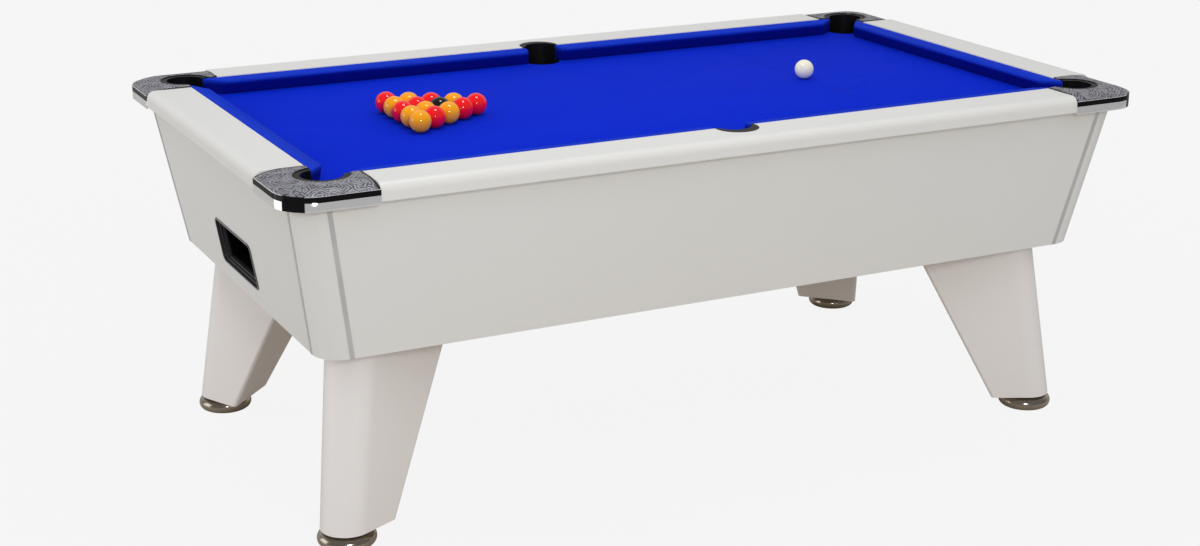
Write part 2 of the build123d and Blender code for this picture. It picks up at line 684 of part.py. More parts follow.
def cross_run():
    """Run across the window end, open towards the long run that feeds it, ending over the tray's wall."""
    gate = RUN_Y - RUN_WIDTH / 2 - RUN_WALL
    end = TRAY_WIDTH / 2
    feed = [(-x, CROSS_RUN_OUTER_Y, z) for x, z in trough(CROSS_RUN_X, CROSS_RUN_HIGH, left=False)]
    run = prism(feed, (0, gate - CROSS_RUN_OUTER_Y, cross_floor(gate) - CROSS_RUN_HIGH))
    rest = [(-x, gate, z) for x, z in trough(CROSS_RUN_X, cross_floor(gate))]
    run += prism(rest, (0, end - gate, cross_floor(end) - cross_floor(gate)))
    half = RUN_WIDTH / 2
    return run + block(
        (-CROSS_RUN_X - half, CROSS_RUN_OUTER_Y - RUN_WALL, CROSS_RUN_HIGH - RUN_WALL),
        (-CROSS_RUN_X + half, CROSS_RUN_OUTER_Y, CROSS_RUN_HIGH + RUN_WALL_HEIGHT),
    )


def ball_tray():
    """Tray behind the window: cheeks and a back on the cabinet floor, and a floor that falls to the window."""

    def panel_x(z):
        return -(cabinet_half(z)[0] - PANEL_THICK - FLOOR_GAP)

    back = panel_x(FLOOR_TOP) + TRAY_DEPTH
    half = TRAY_WIDTH / 2
    front = [(panel_x(TRAY_TOP), TRAY_TOP), (panel_x(FLOOR_TOP), FLOOR_TOP)]
    side = [*front, (back, FLOOR_TOP), (back, TRAY_TOP)]
    tray = block((back - TRAY_WALL, -half, FLOOR_TOP), (back, half, TRAY_TOP))
    for y in (-half, half - TRAY_WALL):
        tray += prism([(x, y, z) for x, z in side], (0, TRAY_WALL, 0))
    front_low, front_high = TRAY_FLOOR - TRAY_WALL, TRAY_FLOOR
    floor = [
        (panel_x(front_low), front_low),
        (back, front_low + TRAY_FLOOR_RISE),
        (back, front_high + TRAY_FLOOR_RISE),
        (panel_x(front_high), front_high),
    ]
    return tray + prism([(x, -half, z) for x, z in floor], (0, TRAY_WIDTH, 0))


def run_uprights():
    """Boards on the cabinet floor that carry the runs."""
    uprights = []
    for side in SIDES.values():
        near = RUN_Y - UPRIGHT_WIDTH / 2
        for share in UPRIGHT_SHARES:
            x = RUN_END_X + share * (RUN_START_X - RUN_END_X)
            x0, x1 = x - UPRIGHT_THICK / 2, x + UPRIGHT_THICK / 2
            seat = [(x1, run_floor(x1) - RUN_WALL), (x0, run_floor(x0) - RUN_WALL)]
            outline = [(x0, FLOOR_TOP), (x1, FLOOR_TOP), *seat]
            board = prism([(px, near, z) for px, z in outline], (0, UPRIGHT_WIDTH, 0))
            uprights.append(to_corner(board, 1, side))
        y = CROSS_UPRIGHT_SHARE * RUN_Y
        y0, y1 = y - UPRIGHT_THICK / 2, y + UPRIGHT_THICK / 2
        seat = [(y1, cross_floor(y1) - RUN_WALL), (y0, cross_floor(y0) - RUN_WALL)]
        outline = [(y0, FLOOR_TOP), (y1, FLOOR_TOP), *seat]
        start = -CROSS_RUN_X - UPRIGHT_WIDTH / 2
        board = prism([(start, py, z) for py, z in outline], (UPRIGHT_WIDTH, 0, 0))
        uprights.append(to_corner(board, 1, side))
    return uprights


# Legs and levelling feet


def leg_circles(share, grow=0):
    """Nose and two inner corners of the leg's section, at a share of the way from its bottom to its top."""
    def mix(low, high):
        return low + share * (high - low)

    x, y = LEG_FOOT_X - share * LEG_SPLAY, LEG_FOOT_Y - share * LEG_SPLAY
    back = mix(LEG_BOTTOM_REACH, LEG_TOP_REACH) / sqrt(2)
    spread = mix(LEG_BOTTOM_SPREAD, LEG_TOP_SPREAD) / 2 / sqrt(2)
    edge = LEG_EDGE_RADIUS + grow
    nose = (x, y, mix(LEG_BOTTOM_NOSE_RADIUS, LEG_TOP_NOSE_RADIUS) + grow)
    return nose, (x - back - spread, y - back + spread, edge), (x - back + spread, y - back - spread, edge)


def leg_bolt_places():
    nose, *corners = leg_circles(1)
    reach = [tuple(n + LEG_BOLT_SHARE * (c - n) for n, c in zip(nose[:2], corner[:2])) for corner in corners]
    return [nose[:2]] + reach


def leg():
    bottom = Pos(0, 0, LEG_BOTTOM) * rounded_hull(*leg_circles(0))
    top = Pos(0, 0, LEG_TOP) * rounded_hull(*leg_circles(1))
    solid = loft([bottom, top], ruled=True)
    solid -= rod(LEG_FOOT_X, LEG_FOOT_Y, LEG_BOTTOM, LEG_BOTTOM + INSERT_LENGTH, INSERT_RADIUS)
    return solid - [rod(x, y, LEG_TOP - LEG_BOLT_GRIP, LEG_TOP, LEG_BOLT_RADIUS) for x, y in leg_bolt_places()]


def leg_plate():
    plate = slab(rounded_hull(*leg_circles(1, LEG_PLATE_MARGIN)), LEG_TOP, CABINET_BOTTOM)
    hole = LEG_BOLT_RADIUS + LEG_BOLT_HOLE_GAP
    return plate - [rod(x, y, LEG_TOP, CABINET_BOTTOM, hole) for x, y in leg_bolt_places()]


def leg_insert():
    top = LEG_BOTTOM + INSERT_LENGTH
    sleeve = rod(LEG_FOOT_X, LEG_FOOT_Y, LEG_BOTTOM, top, INSERT_RADIUS)
    return sleeve - rod(LEG_FOOT_X, LEG_FOOT_Y, LEG_BOTTOM, top, FOOT_STEM_RADIUS + INSERT_GAP)


def levelling_foot():
    """Bun-shaped foot with its hub and screwed stem."""
    base, bulge = (FOOT_BASE_RADIUS, 0, 0), (FOOT_RADIUS, 0, FOOT_BULGE_HEIGHT)
    shoulder = (FOOT_SHOULDER_RADIUS, 0, FOOT_SHOULDER_HEIGHT)
    stem_top = LEG_BOTTOM + FOOT_STEM_LENGTH
    profile = make_face([
        Line((0, 0, 0), base),
        ThreePointArc(base, bulge, shoulder),
        Polyline(
            shoulder,
            (FOOT_HUB_RADIUS, 0, FOOT_SHOULDER_HEIGHT),
            (FOOT_HUB_RADIUS, 0, LEG_BOTTOM),
            (FOOT_STEM_RADIUS, 0, LEG_BOTTOM),
            (FOOT_STEM_RADIUS, 0, stem_top),
            (0, 0, stem_top),
            (0, 0, 0),
        ),
    ])
    return Pos(LEG_FOOT_X, LEG_FOOT_Y, 0) * revolve(profile, Axis.Z)


# Fasteners


def hex_bolt(x, y, seat, tip, radius, head_radius, washer_radius):
    """Bolt with a washer under its head; the head lies on the far side of the seat from the tip."""
    out = 1 if seat > tip else -1
    head_seat = seat + out * WASHER_THICK
    head = slab(Pos(x, y) * RegularPolygon(head_radius, 6), head_seat, head_seat + out * BOLT_HEAD_HEIGHT)
    washer = rod(x, y, min(seat, head_seat), max(seat, head_seat), washer_radius)
    return head + washer + rod(x, y, min(seat, tip), max(seat, tip), radius)


def rail_bolt_places():
    side_y, end_x = RAIL_INNER_Y + RAIL_BOLT_INSET, RAIL_INNER_X + END_RAIL_BOLT_INSET
    places = [(sx * share * RAIL_END_X, sy * side_y) for share in RAIL_BOLT_SHARES for sx, sy in CORNERS.values()]
    return places + [(sx * end_x, share * RAIL_END_Y) for share in END_RAIL_BOLT_SHARES for sx in (-1, 1)]


def rail_bolts():
    tip = RAIL_BOTTOM + RAIL_BOLT_GRIP
    return [
        hex_bolt(x, y, SLATE_BOTTOM, tip, RAIL_BOLT_RADIUS, BOLT_HEAD_RADIUS, WASHER_RADIUS)
        for x, y in rail_bolt_places()
    ]


def leg_bolts():
    tip = LEG_TOP - LEG_BOLT_GRIP
    return [
        hex_bolt(sx * x, sy * y, FLOOR_TOP, tip, LEG_BOLT_RADIUS, LEG_BOLT_HEAD_RADIUS, LEG_WASHER_RADIUS)
        for sx, sy in CORNERS.values()
        for x, y in leg_bolt_places()
    ]


def slate_screw(x, y, grow=0):
    """Countersunk screw, flush with the slate's top; grown by a gap it is its own hole."""
    head = SCREW_HEAD_RADIUS - SCREW_RADIUS
    cone = Pos(x, y, RAIL_BOTTOM - head) * Cone(
        SCREW_RADIUS + grow, SCREW_HEAD_RADIUS + grow, head, align=(Align.CENTER, Align.CENTER, Align.MIN)
    )
    return cone + rod(x, y, RAIL_BOTTOM - SCREW_LENGTH, RAIL_BOTTOM - head, SCREW_RADIUS + grow)


def slate_screw_places():
    return [(x, share * HALF_WIDTH) for x in bearer_places() for share in SCREW_SHARES]


# Balls


def rack():
    """Ball centres by colour letter, row by row behind the apex."""
    places = {"R": [], "Y": [], "B": []}
    for row, colours in enumerate(RACK_ROWS):
        for place, colour in enumerate(colours):
            x = RACK_APEX_SHARE * PLAY_LENGTH - row * RACK_ROW_STEP
            places[colour].append((x, (row / 2 - place) * RACK_PITCH))
    return places


def ball(x, y, diameter=BALL_DIAMETER):
    return Pos(x, y, CLOTH_TOP + BALL_LIFT + diameter / 2) * Sphere(diameter / 2)


# Write every piece

for side_name, side in SIDES.items():
    save(f"side_panel_{side_name}", to_corner(side_panel(), 1, side))
    save(f"rail_{side_name}", to_corner(long_rail(), 1, side))
    save(f"middle_pocket_{side_name}", to_corner(middle_liner(), 1, side))
    save(f"ball_run_{side_name}", to_corner(long_run(), 1, side))
for corner, (sx, sy) in CORNERS.items():
    save(f"corner_post_{corner}", to_corner(corner_post(), sx, sy))
    save(f"corner_pocket_{corner}", to_corner(corner_liner(), sx, sy))
    save(f"corner_cap_{corner}", to_corner(corner_cap(), sx, sy))
    save(f"cushion_{corner}", to_corner(side_cushion(), sx, sy))
    save(f"leg_{corner}", to_corner(leg(), sx, sy))
    save(f"levelling_foot_{corner}", to_corner(levelling_foot(), sx, sy))
save("end_panel_window", window_panel())
save("end_panel_plain", end_panel())
save("rail_end_window", mirror(end_rail(), about=Plane.YZ))
save("rail_end_plain", end_rail())
save("cushion_end_window", mirror(end_cushion(), about=Plane.YZ))
save("cushion_end_plain", end_cushion())
save("window_bezel", window_bezel())
save("ball_tray", ball_tray())
save("cabinet_floor", cabinet_floor())
save("slate_bed", slate_bed())
save("bed_cloth", bed_cloth())
save("post_trim_strips", *[to_corner(s, *corner) for corner in CORNERS.values() for s in trim_pair()])
save("corner_blocks", *[to_corner(corner_block(), *corner) for corner in CORNERS.values()])
save("rail_corner_blocks", *[to_corner(rail_corner_block(), *corner) for corner in CORNERS.values()])
save("cap_inlays", *[to_corner(inlay(), *corner) for corner in CORNERS.values()])
save("leg_plates", *[to_corner(leg_plate(), *corner) for corner in CORNERS.values()])
save("leg_inserts", *[to_corner(leg_insert(), *corner) for corner in CORNERS.values()])
save("slate_bearers", *slate_bearers())
save("cross_runs", *[to_corner(cross_run(), 1, side) for side in SIDES.values()])
save("run_uprights", *run_uprights())
save("rail_bolts", *rail_bolts())
save("leg_bolts", *leg_bolts())
save("slate_screws", *[slate_screw(x, y) for x, y in slate_screw_places()])
racked = rack()
save("red_balls", *[ball(x, y) for x, y in racked["R"]])
save("yellow_balls", *[ball(x, y) for x, y in racked["Y"]])
save("black_ball", *[ball(x, y) for x, y in racked["B"]])
save("cue_ball", ball(CUE_BALL_X, 0, CUE_BALL_DIAMETER))
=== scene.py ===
import json
import math

import bpy
from bpy.props import FloatProperty, FloatVectorProperty, IntProperty, PointerProperty
from mathutils import Euler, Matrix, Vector

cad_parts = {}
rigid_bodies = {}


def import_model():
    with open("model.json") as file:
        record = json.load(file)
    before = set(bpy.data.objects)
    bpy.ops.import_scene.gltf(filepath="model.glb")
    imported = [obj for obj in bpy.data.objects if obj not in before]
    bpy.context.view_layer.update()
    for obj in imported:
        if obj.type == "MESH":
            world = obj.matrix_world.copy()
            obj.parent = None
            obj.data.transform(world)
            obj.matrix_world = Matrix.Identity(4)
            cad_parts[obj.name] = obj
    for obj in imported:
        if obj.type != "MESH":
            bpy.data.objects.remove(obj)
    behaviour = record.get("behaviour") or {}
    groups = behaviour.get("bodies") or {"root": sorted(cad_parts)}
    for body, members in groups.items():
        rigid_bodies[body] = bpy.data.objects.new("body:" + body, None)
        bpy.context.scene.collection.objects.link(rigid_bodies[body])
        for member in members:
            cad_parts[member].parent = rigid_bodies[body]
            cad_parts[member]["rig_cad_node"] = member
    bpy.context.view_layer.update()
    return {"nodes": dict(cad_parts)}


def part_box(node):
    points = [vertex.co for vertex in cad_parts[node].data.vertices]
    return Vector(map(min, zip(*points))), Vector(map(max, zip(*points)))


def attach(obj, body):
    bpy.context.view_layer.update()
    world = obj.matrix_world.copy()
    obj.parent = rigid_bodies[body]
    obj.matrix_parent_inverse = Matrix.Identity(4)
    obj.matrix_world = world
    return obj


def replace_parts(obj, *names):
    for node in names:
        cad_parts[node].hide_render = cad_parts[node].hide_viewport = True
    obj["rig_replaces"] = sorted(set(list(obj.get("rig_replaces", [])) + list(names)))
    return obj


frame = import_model()

bl_info = {
    "name": "Slate-bed Pool Table",
    "version": (1, 0, 0),
    "blender": (4, 5, 0),
    "location": "3D View > Sidebar > Pool Table",
    "description": "Finishes, cloth, cushions and studio for a pool table on a CAD frame",
    "category": "Object",
}

NODES = frame["nodes"]
CORNERS = ("front_left", "front_right", "back_left", "back_right")
SIDES = ("front", "back")
CUSHIONS = tuple(f"cushion_{corner}" for corner in CORNERS) + ("cushion_end_window", "cushion_end_plain")
CLOTH_LOW, CLOTH_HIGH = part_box("bed_cloth")
CAP_LOW, CAP_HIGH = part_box("corner_cap_back_right")
CUSHION_LOW, CUSHION_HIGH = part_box("cushion_end_window")

# Scales of the patterns, in features to the metre
LAMINATE_GRAIN, LAMINATE_SMEARS = 420.0, 7.0
MOULDING_GRAIN, MOULDING_SMEARS = 900.0, 10.0
NICKEL_LINES, ZINC_LINES, METAL_SMEARS = 70.0, 400.0, 14.0
CAP_LINES, CAP_SMEARS = 90.0, 16.0
PEWTER_GRAIN, STROKE_CELLS, STROKE_WEAR = 700.0, 75.0, 60.0
TIMBER_RINGS, TIMBER_PORES = 26.0, 240.0
RESIN_CLOUDS, RESIN_SMEARS = 38.0, 55.0
NAP_FIBRES, NAP_CLOUDS = 1600.0, 9.0
SLATE_GRAIN, SLATE_BEDS = 500.0, 18.0
STROKE_WAVES = 900.0  # radians to the metre across a tooled stroke
SLOW_TONE = 0.012  # scale of a grain's slow change of tone, as a share of the grain's own

# Shares in which two patterns are added
WEAVE_SHARE = 0.18  # weave, to the fibres of the nap above it
PORE_SHARE = 0.25  # pores of the timber, the rest being its rings
CELL_SHARE = 0.25  # hollow of a pewter cell, the rest being its strokes
PEWTER_SHARE = 0.25  # grain of the pewter, to the depth of its hollows

# Least part of a unit normal along an axis for a face to look along it, or to lie flat
FACING = 0.7
LYING = 0.5

CELL_SLOPE = 1.2  # how fast a pewter cell's hollow deepens from the middle of the cell
STROKE_DEPTHS = (-0.2, 2.2)  # least and most depth of the strokes, as wear leaves them
LINE_DEPTH = 0.000004  # depth of the lines in a cap's polish, in metres
CROWN_START = 0.4  # where the crown of a cap's band begins, in heights of the band below it
# Painted shade: below this height a cushion's face is painted darker, easing into its lighter top above it
CUSHION_SHADE_START = 0.56  # where a cushion's face begins to turn into its top, as a share of its height
FOLD_LEAN = 5.0  # how far the phase of a tuck's folds moves over a cushion's height, in radians
CLOTH_CREASE = math.radians(40)  # edges of the bed cloth that are sharper than this stay sharp

# Lamps: place, aim and size
OVERHEAD_LAMP = ((-0.3, -0.2, 2.9), (-0.1, 0, 0.8), (0.6, 0.45))
FRONT_LAMP = ((-1.6, -4.9, 2.5), (-0.4, 0, 0.7), (0.9, 0.6))
SIDE_LAMP = ((-3.88, 1.30, 1.2), (-1.0, -0.5, 1.0), (2.2, 2.4))

# Distances from the middle of the floor over which the shadow and the warmer bounce fade
SHADOW_FADE = (1.2, 3.2)
BOUNCE_FADE = (0.6, 1.4)

# Cosines to the camera's heading over which reflections pass from the studio to the backdrop
BACKDROP_FADE = (0.1, 0.8)


def colour(name, description, default):
    """A colour setting, as linear values."""
    return FloatVectorProperty(
        name=name, description=description, subtype="COLOR", size=3, min=0, max=1, default=default,
    )


def length(name, description, default):
    """A length setting in metres."""
    return FloatProperty(
        name=name, description=description, subtype="DISTANCE", unit="LENGTH", default=default, precision=4,
    )


def angle(name, description, degrees):
    """An angle setting, given in degrees and kept in radians."""
    return FloatProperty(name=name, description=description, subtype="ANGLE", default=math.radians(degrees))


def share(name, description, default):
    """A setting from 0 to 1."""
    return FloatProperty(name=name, description=description, default=default, min=0, max=1)


def amount(name, description, default):
    """A setting from 0 upwards that has no unit."""
    return FloatProperty(name=name, description=description, default=default, min=0)


def power(name, description, default):
    """A lamp's power in watts."""
    return FloatProperty(name=name, description=description, unit="POWER", default=default, min=0)


class PoolTableColours(bpy.types.PropertyGroup):
    """Colours of the table's finishes, as linear values"""

    laminate: colour("Laminate", "Satin white of the cabinet and rails", (0.76, 0.755, 0.735))
    # Painted light: the legs' white is a warmer, lighter copy of the laminate, standing in for warm bounce
    # light from the floor
    legs: colour("Legs", "Warmer white of the legs and their plates", (0.815, 0.785, 0.768))
    trim: colour("Trim strips", "Grey strips beside the corner posts", (0.55, 0.55, 0.555))
    cap: colour("Corner caps", "Polished metal of the caps", (0.82, 0.82, 0.83))
    enamel: colour("Cap enamel", "Dark enamel on the caps' bevel and corner", (0.006, 0.006, 0.007))
    inlay: colour("Cap inlays", "Pewter of the textured plates", (0.47, 0.47, 0.535))
    moulding: colour("Black mouldings", "Pocket liners", (0.005, 0.005, 0.0055))
    bezel: colour("Window bezel", "Dark grey frame of the ball window", (0.030, 0.030, 0.033))
    # Painted highlight: the bezel's ledges are painted lighter for the light they catch
    bezel_ledge_highlight: colour("Bezel ledges", "Lighter ledges of that frame", (0.20, 0.20, 0.21))
    # Partly painted reflection: the nickel is darkened and browned to stand in for the dark reflections round
    # the feet
    nickel: colour("Levelling feet", "Nickel of the feet", (0.48, 0.425, 0.355))
    cloth: colour("Cloth", "Blue cloth of the bed", (0.002, 0.023, 0.63))
    # Cushion tops are the cloth painted lighter as painted light; cushion faces are the cloth painted darker
    # as painted shade
    cushion_top_painted_light: colour("Cushion tops", "The same cloth over the tops of the cushions", (0.009, 0.042, 0.60))
    cushion_face_painted_shade: colour("Cushion faces", "The same cloth down the cushions' faces", (0.001, 0.005, 0.20))
    marking: colour("Cloth marking", "Baulk line and semicircle", (0.002, 0.012, 0.40))
    red_ball: colour("Red balls", "Resin of the red balls", (0.95, 0.004, 0.008))
    yellow_ball: colour("Yellow balls", "Resin of the yellow balls", (1.0, 0.385, 0.001))
    black_ball: colour("Black ball", "Resin of the black ball", (0.003, 0.003, 0.003))
    cue_ball: colour("Cue ball", "Resin of the cue ball", (0.97, 0.92, 0.72))
    timber: colour("Timber", "Blocks, bearers and floor of the cabinet", (0.56, 0.40, 0.24))
    # Partly painted shade: the dark run board is painted near black so the inside of the cabinet stays dark
    board: colour("Run board", "Dark board of the ball return", (0.004, 0.0038, 0.0036))
    slate: colour("Slate", "Honed slate of the bed", (0.075, 0.080, 0.088))
    steel: colour("Fasteners", "Zinc-plated steel", (0.62, 0.62, 0.63))


class PoolTableCaps(bpy.types.PropertyGroup):
    """Bright band and dark enamel of the corner caps"""

    bright_band: length("Bright band", "Height of the polished band on the sides of a cap", 0.0187)
    band_crown: amount("Band crown", "Slope of the crowned band at its upper edge", 0.345)
    brim_depth: length("Brim depth", "How far below a cap's top its bright brim begins", 0.0121)
    corner_radius: length("Corner radius", "Radius of a cap's outer corner in plan", 0.080)
    patch_angle: angle("Patch half angle", "Half the angle of the dark patch on a cap's outer corner", 18)


class PoolTableCloth(bpy.types.PropertyGroup):
    """Bed cloth and cushion covers"""

    pocket_cut: length("Pocket cut", "Radius of the cloth's cut at a pocket", 0.0474)
    corner_pocket: FloatVectorProperty(
        name="Corner pocket", description="Centre of a corner pocket from the centre of the bed",
        subtype="XYZ", unit="LENGTH", size=2, default=(0.949, 0.4915),
    )
    middle_pocket: length("Middle pocket", "Centre of a middle pocket from the centre of the bed", 0.4875)
    edge_round: length("Edge round", "Rounding of the cloth's cut edges", 0.0003)
    thread_pitch: length("Thread pitch", "Spacing of the threads under the nap", 0.0009)
    baulk_line: length("Baulk line", "Distance of the baulk line from the centre of the bed", 0.500)
    semicircle: length("Semicircle", "Radius of the semicircle on the baulk line", 0.153)
    marking_width: length("Marking width", "Width of the lines on the cloth", 0.003)
    voxel: length("Cushion voxel", "Grain of the cushion covers' remeshing", 0.0024)
    relax: IntProperty(
        name="Cushion relax", description="Smoothing steps that draw the cover over the rubber",
        default=12, min=0,
    )
    tuck_depth: length("Tuck depth", "Depth of the folds where a cover turns in at a pocket", 0.0007)
    tuck_reach: length("Tuck reach", "How far those folds run from the end of a cushion", 0.045)
    tuck_pitch: length("Tuck pitch", "Spacing of those folds", 0.011)


class PoolTableStage(bpy.types.PropertyGroup):
    """Camera, lamps and floor"""

    camera_place: FloatVectorProperty(
        name="Camera place", description="Where the camera stands", subtype="TRANSLATION", unit="LENGTH",
        size=3, default=(-2.1921, -4.1451, 1.8522),
    )
    heading: angle("Heading", "Camera's turn from along the short side towards the long side", 27.13)
    tilt: angle("Tilt", "How far the camera looks down", 17.79)
    roll: angle("Roll", "Camera's roll", 0.212)
    lens: FloatProperty(
        name="Lens", description="Focal length in millimetres", subtype="DISTANCE_CAMERA", default=59.52,
    )
    shift: FloatProperty(name="Shift", description="Sideways shift of the frame", default=-0.0022)
    floor_size: length("Floor size", "Side of the square floor", 60)
    floor_tone: share("Floor tone", "Brightness of the floor and backdrop", 0.918)
    shadow: share("Floor shadow", "Share of the table's shadow on the floor", 0.03)
    studio: amount("Studio light", "Strength of the studio's even light", 0.78)
    reflected: share("Reflected studio", "Share of that light seen in polished surfaces", 0.25)
    mirrored: amount("Mirrored backdrop", "Strength of the backdrop in polished surfaces", 0.5)
    overhead: power("Overhead lamp", "Power of the softbox over the table", 9)
    front: power("Front lamp", "Power of the softbox beside the camera", 55)
    side: power("Side lamp", "Power of the softbox past the window end", 22)
    bounce: colour("Floor bounce", "Colour that the floor throws back on the table", (0.53, 0.51, 0.485))
    underneath: colour("Bounce underneath", "What it throws back from under the table", (0.56, 0.48, 0.40))


class PoolTableSettings(bpy.types.PropertyGroup):
    """All settings of the pool table"""

    colours: PointerProperty(type=PoolTableColours)
    caps: PointerProperty(type=PoolTableCaps)
    cloth: PointerProperty(type=PoolTableCloth)
    stage: PointerProperty(type=PoolTableStage)


# Shader nodes


def feed(tree, socket, value):
    """Links a socket to another, or sets its value."""
    if isinstance(value, bpy.types.NodeSocket):
        tree.links.new(value, socket)
    elif socket.type == "RGBA":
        socket.default_value = (*value, 1)
    else:
        socket.default_value = value


def add_node(tree, kind, *inputs, named=None, **settings):
    """A new node with its settings, and its inputs set or linked in order or by name."""
    node = tree.nodes.new(kind)
    for key, value in settings.items():
        setattr(node, key, value)
    for socket, value in zip(node.inputs, inputs):
        feed(tree, socket, value)
    for key, value in (named or {}).items():
        feed(tree, node.inputs[key], value)
    return node


def calc(tree, operation, *inputs, clamp=False):
    """The result of one operation on values or sockets."""
    return add_node(tree, "ShaderNodeMath", *inputs, operation=operation, use_clamp=clamp).outputs[0]


def noise(tree, vector, scale, detail=2.0, rough=0.5):
    """Cloudy noise, its scale in features to the metre."""
    named = {"Vector": vector, "Scale": scale, "Detail": detail, "Roughness": rough}
    return add_node(tree, "ShaderNodeTexNoise", named=named).outputs["Fac"]


def stretch(tree, vector, scale):
    """The vector with its axes scaled, so that a pattern runs long on the small ones."""
    named = {"Vector": vector, "Scale": scale}
    return add_node(tree, "ShaderNodeMapping", named=named).outputs["Vector"]


def blend_colour(tree, factor, first, second):
    """A colour between two, by a factor from 0 to 1."""
    node = add_node(tree, "ShaderNodeMix", data_type="RGBA")
    for key, value in (("Factor_Float", factor), ("A_Color", first), ("B_Color", second)):
        feed(tree, next(s for s in node.inputs if s.identifier == key), value)
    return next(s for s in node.outputs if s.identifier == "Result_Color")


def spread(tree, value, low, high):
    """A value from 0 to 1, turned into one from low to high."""
    named = {"Value": value, "To Min": low, "To Max": high}
    return add_node(tree, "ShaderNodeMapRange", named=named).outputs["Result"]


def ease(tree, value, start, end, low=0.0, high=1.0):
    """A value that eases from low to high between the start and the end."""
    limits = (value, start, end, low, high)
    return add_node(tree, "ShaderNodeMapRange", *limits, interpolation_type="SMOOTHSTEP").outputs["Result"]


def split(tree, vector):
    """A vector's X, Y and Z."""
    return add_node(tree, "ShaderNodeSeparateXYZ", vector).outputs


def bump(tree, height, distance, strength=1.0):
    """A normal from a height, its full rise given as a distance in metres."""
    named = {"Height": height, "Distance": distance, "Strength": strength}
    return add_node(tree, "ShaderNodeBump", named=named).outputs["Normal"]


def group_tree(name, measure, *outputs):
    """A new node group that takes a vector and a measure."""
    tree = bpy.data.node_groups.new(name, "ShaderNodeTree")
    tree.interface.new_socket(name="Vector", in_out="INPUT", socket_type="NodeSocketVector")
    tree.interface.new_socket(name=measure, in_out="INPUT", socket_type="NodeSocketFloat")
    for label in outputs:
        tree.interface.new_socket(name=label, in_out="OUTPUT", socket_type="NodeSocketFloat")
    return tree, tree.nodes.new("NodeGroupInput").outputs, tree.nodes.new("NodeGroupOutput").inputs


def surface_grain(name):
    """Fine moulded or pressed grain, with a slow change of tone."""
    tree, given, put_out = group_tree(name, "Scale", "Height", "Tone")
    feed(tree, put_out["Height"], noise(tree, given["Vector"], given["Scale"], detail=3.0, rough=0.55))
    slow = calc(tree, "MULTIPLY", given["Scale"], SLOW_TONE)
    feed(tree, put_out["Tone"], noise(tree, given["Vector"], slow, detail=3.0))
    return tree


def handling_marks(name):
    """Faint smears that break up a polished surface."""
    tree, given, put_out = group_tree(name, "Scale", "Smear")
    wiped = stretch(tree, given["Vector"], (1.0, 0.35, 0.6))
    feed(tree, put_out["Smear"], noise(tree, wiped, given["Scale"], detail=5.0, rough=0.65))
    return tree


def brushed_lines(name):
    """Drawn or brushed lines along a direction set by the vector's stretch."""
    tree, given, put_out = group_tree(name, "Scale", "Lines")
    feed(tree, put_out["Lines"], noise(tree, given["Vector"], given["Scale"], detail=4.0, rough=0.7))
    return tree


def napped_weave(name):
    """Short nap brushed along the length over a plain weave."""
    tree, given, put_out = group_tree(name, "Pitch", "Height", "Tone", "Fibre")
    axes = split(tree, given["Vector"])
    turns = calc(tree, "DIVIDE", 2 * math.pi, given["Pitch"])
    warp = calc(tree, "SINE", calc(tree, "MULTIPLY", axes["X"], turns))
    across = calc(tree, "ADD", axes["Y"], axes["Z"])
    weft = calc(tree, "SINE", calc(tree, "MULTIPLY", across, turns))
    weave = calc(tree, "MULTIPLY", warp, weft)
    brushed = stretch(tree, given["Vector"], (0.25, 1.0, 1.0))
    fibre = noise(tree, brushed, NAP_FIBRES, detail=3.0, rough=0.65)
    feed(tree, put_out["Fibre"], fibre)
    feed(tree, put_out["Height"], calc(tree, "MULTIPLY_ADD", weave, WEAVE_SHARE, fibre))
    shaded = stretch(tree, given["Vector"], (0.5, 1.0, 1.0))
    feed(tree, put_out["Tone"], noise(tree, shaded, NAP_CLOUDS, detail=4.0, rough=0.6))
    return tree


def add_group(tree, make, *inputs):
    """A node group, made on its first use, with its inputs set or linked in order."""
    node = tree.nodes.new("ShaderNodeGroup")
    node.node_tree = bpy.data.node_groups.get(make.__name__) or make(make.__name__)
    for socket, value in zip(node.inputs, inputs):
        feed(tree, socket, value)
    return node.outputs


# Finishes


def finish_material(name, metallic=0.0, gloss=0.5):
    """A material, its tree, its Principled shader's inputs and the object coordinates."""
    material = bpy.data.materials.new(name)
    material.use_nodes = True
    tree = material.node_tree
    sockets = tree.nodes["Principled BSDF"].inputs
    sockets["Metallic"].default_value = metallic
    sockets["Specular IOR Level"].default_value = gloss
    place = tree.nodes.new("ShaderNodeTexCoord").outputs["Object"]
    return material, tree, sockets, place


def facing(tree, place):
    """X, Y and Z of the object's normal, from the node that gives its coordinates."""
    return split(tree, place.node.outputs["Normal"])


def darker(shade, share):
    """A share of a colour; past 1 it's lighter."""
    return tuple(part * share for part in shade)


def laminate_finish(name, shade):
    """Satin laminate with a faint pressed texture."""
    material, tree, sockets, place = finish_material(name)
    grain = add_group(tree, surface_grain, place, LAMINATE_GRAIN)
    marks = add_group(tree, handling_marks, place, LAMINATE_SMEARS)
    feed(tree, sockets["Base Color"], blend_colour(tree, grain["Tone"], darker(shade, 0.975), shade))
    feed(tree, sockets["Roughness"], spread(tree, marks["Smear"], 0.30, 0.44))
    feed(tree, sockets["Normal"], bump(tree, grain["Height"], distance=0.00006))
    return material


def metal_finish(name, shade, roughness, scale, lines, depth):
    """Plated or drawn metal with faint lines and smears."""
    material, tree, sockets, place = finish_material(name, metallic=1.0)
    drawn = add_group(tree, brushed_lines, stretch(tree, place, scale), lines)
    marks = add_group(tree, handling_marks, place, METAL_SMEARS)
    feed(tree, sockets["Base Color"], blend_colour(tree, drawn["Lines"], darker(shade, 0.9), shade))
    feed(tree, sockets["Roughness"], spread(tree, marks["Smear"], roughness * 0.75, roughness * 1.35))
    feed(tree, sockets["Normal"], bump(tree, drawn["Lines"], depth))
    return material


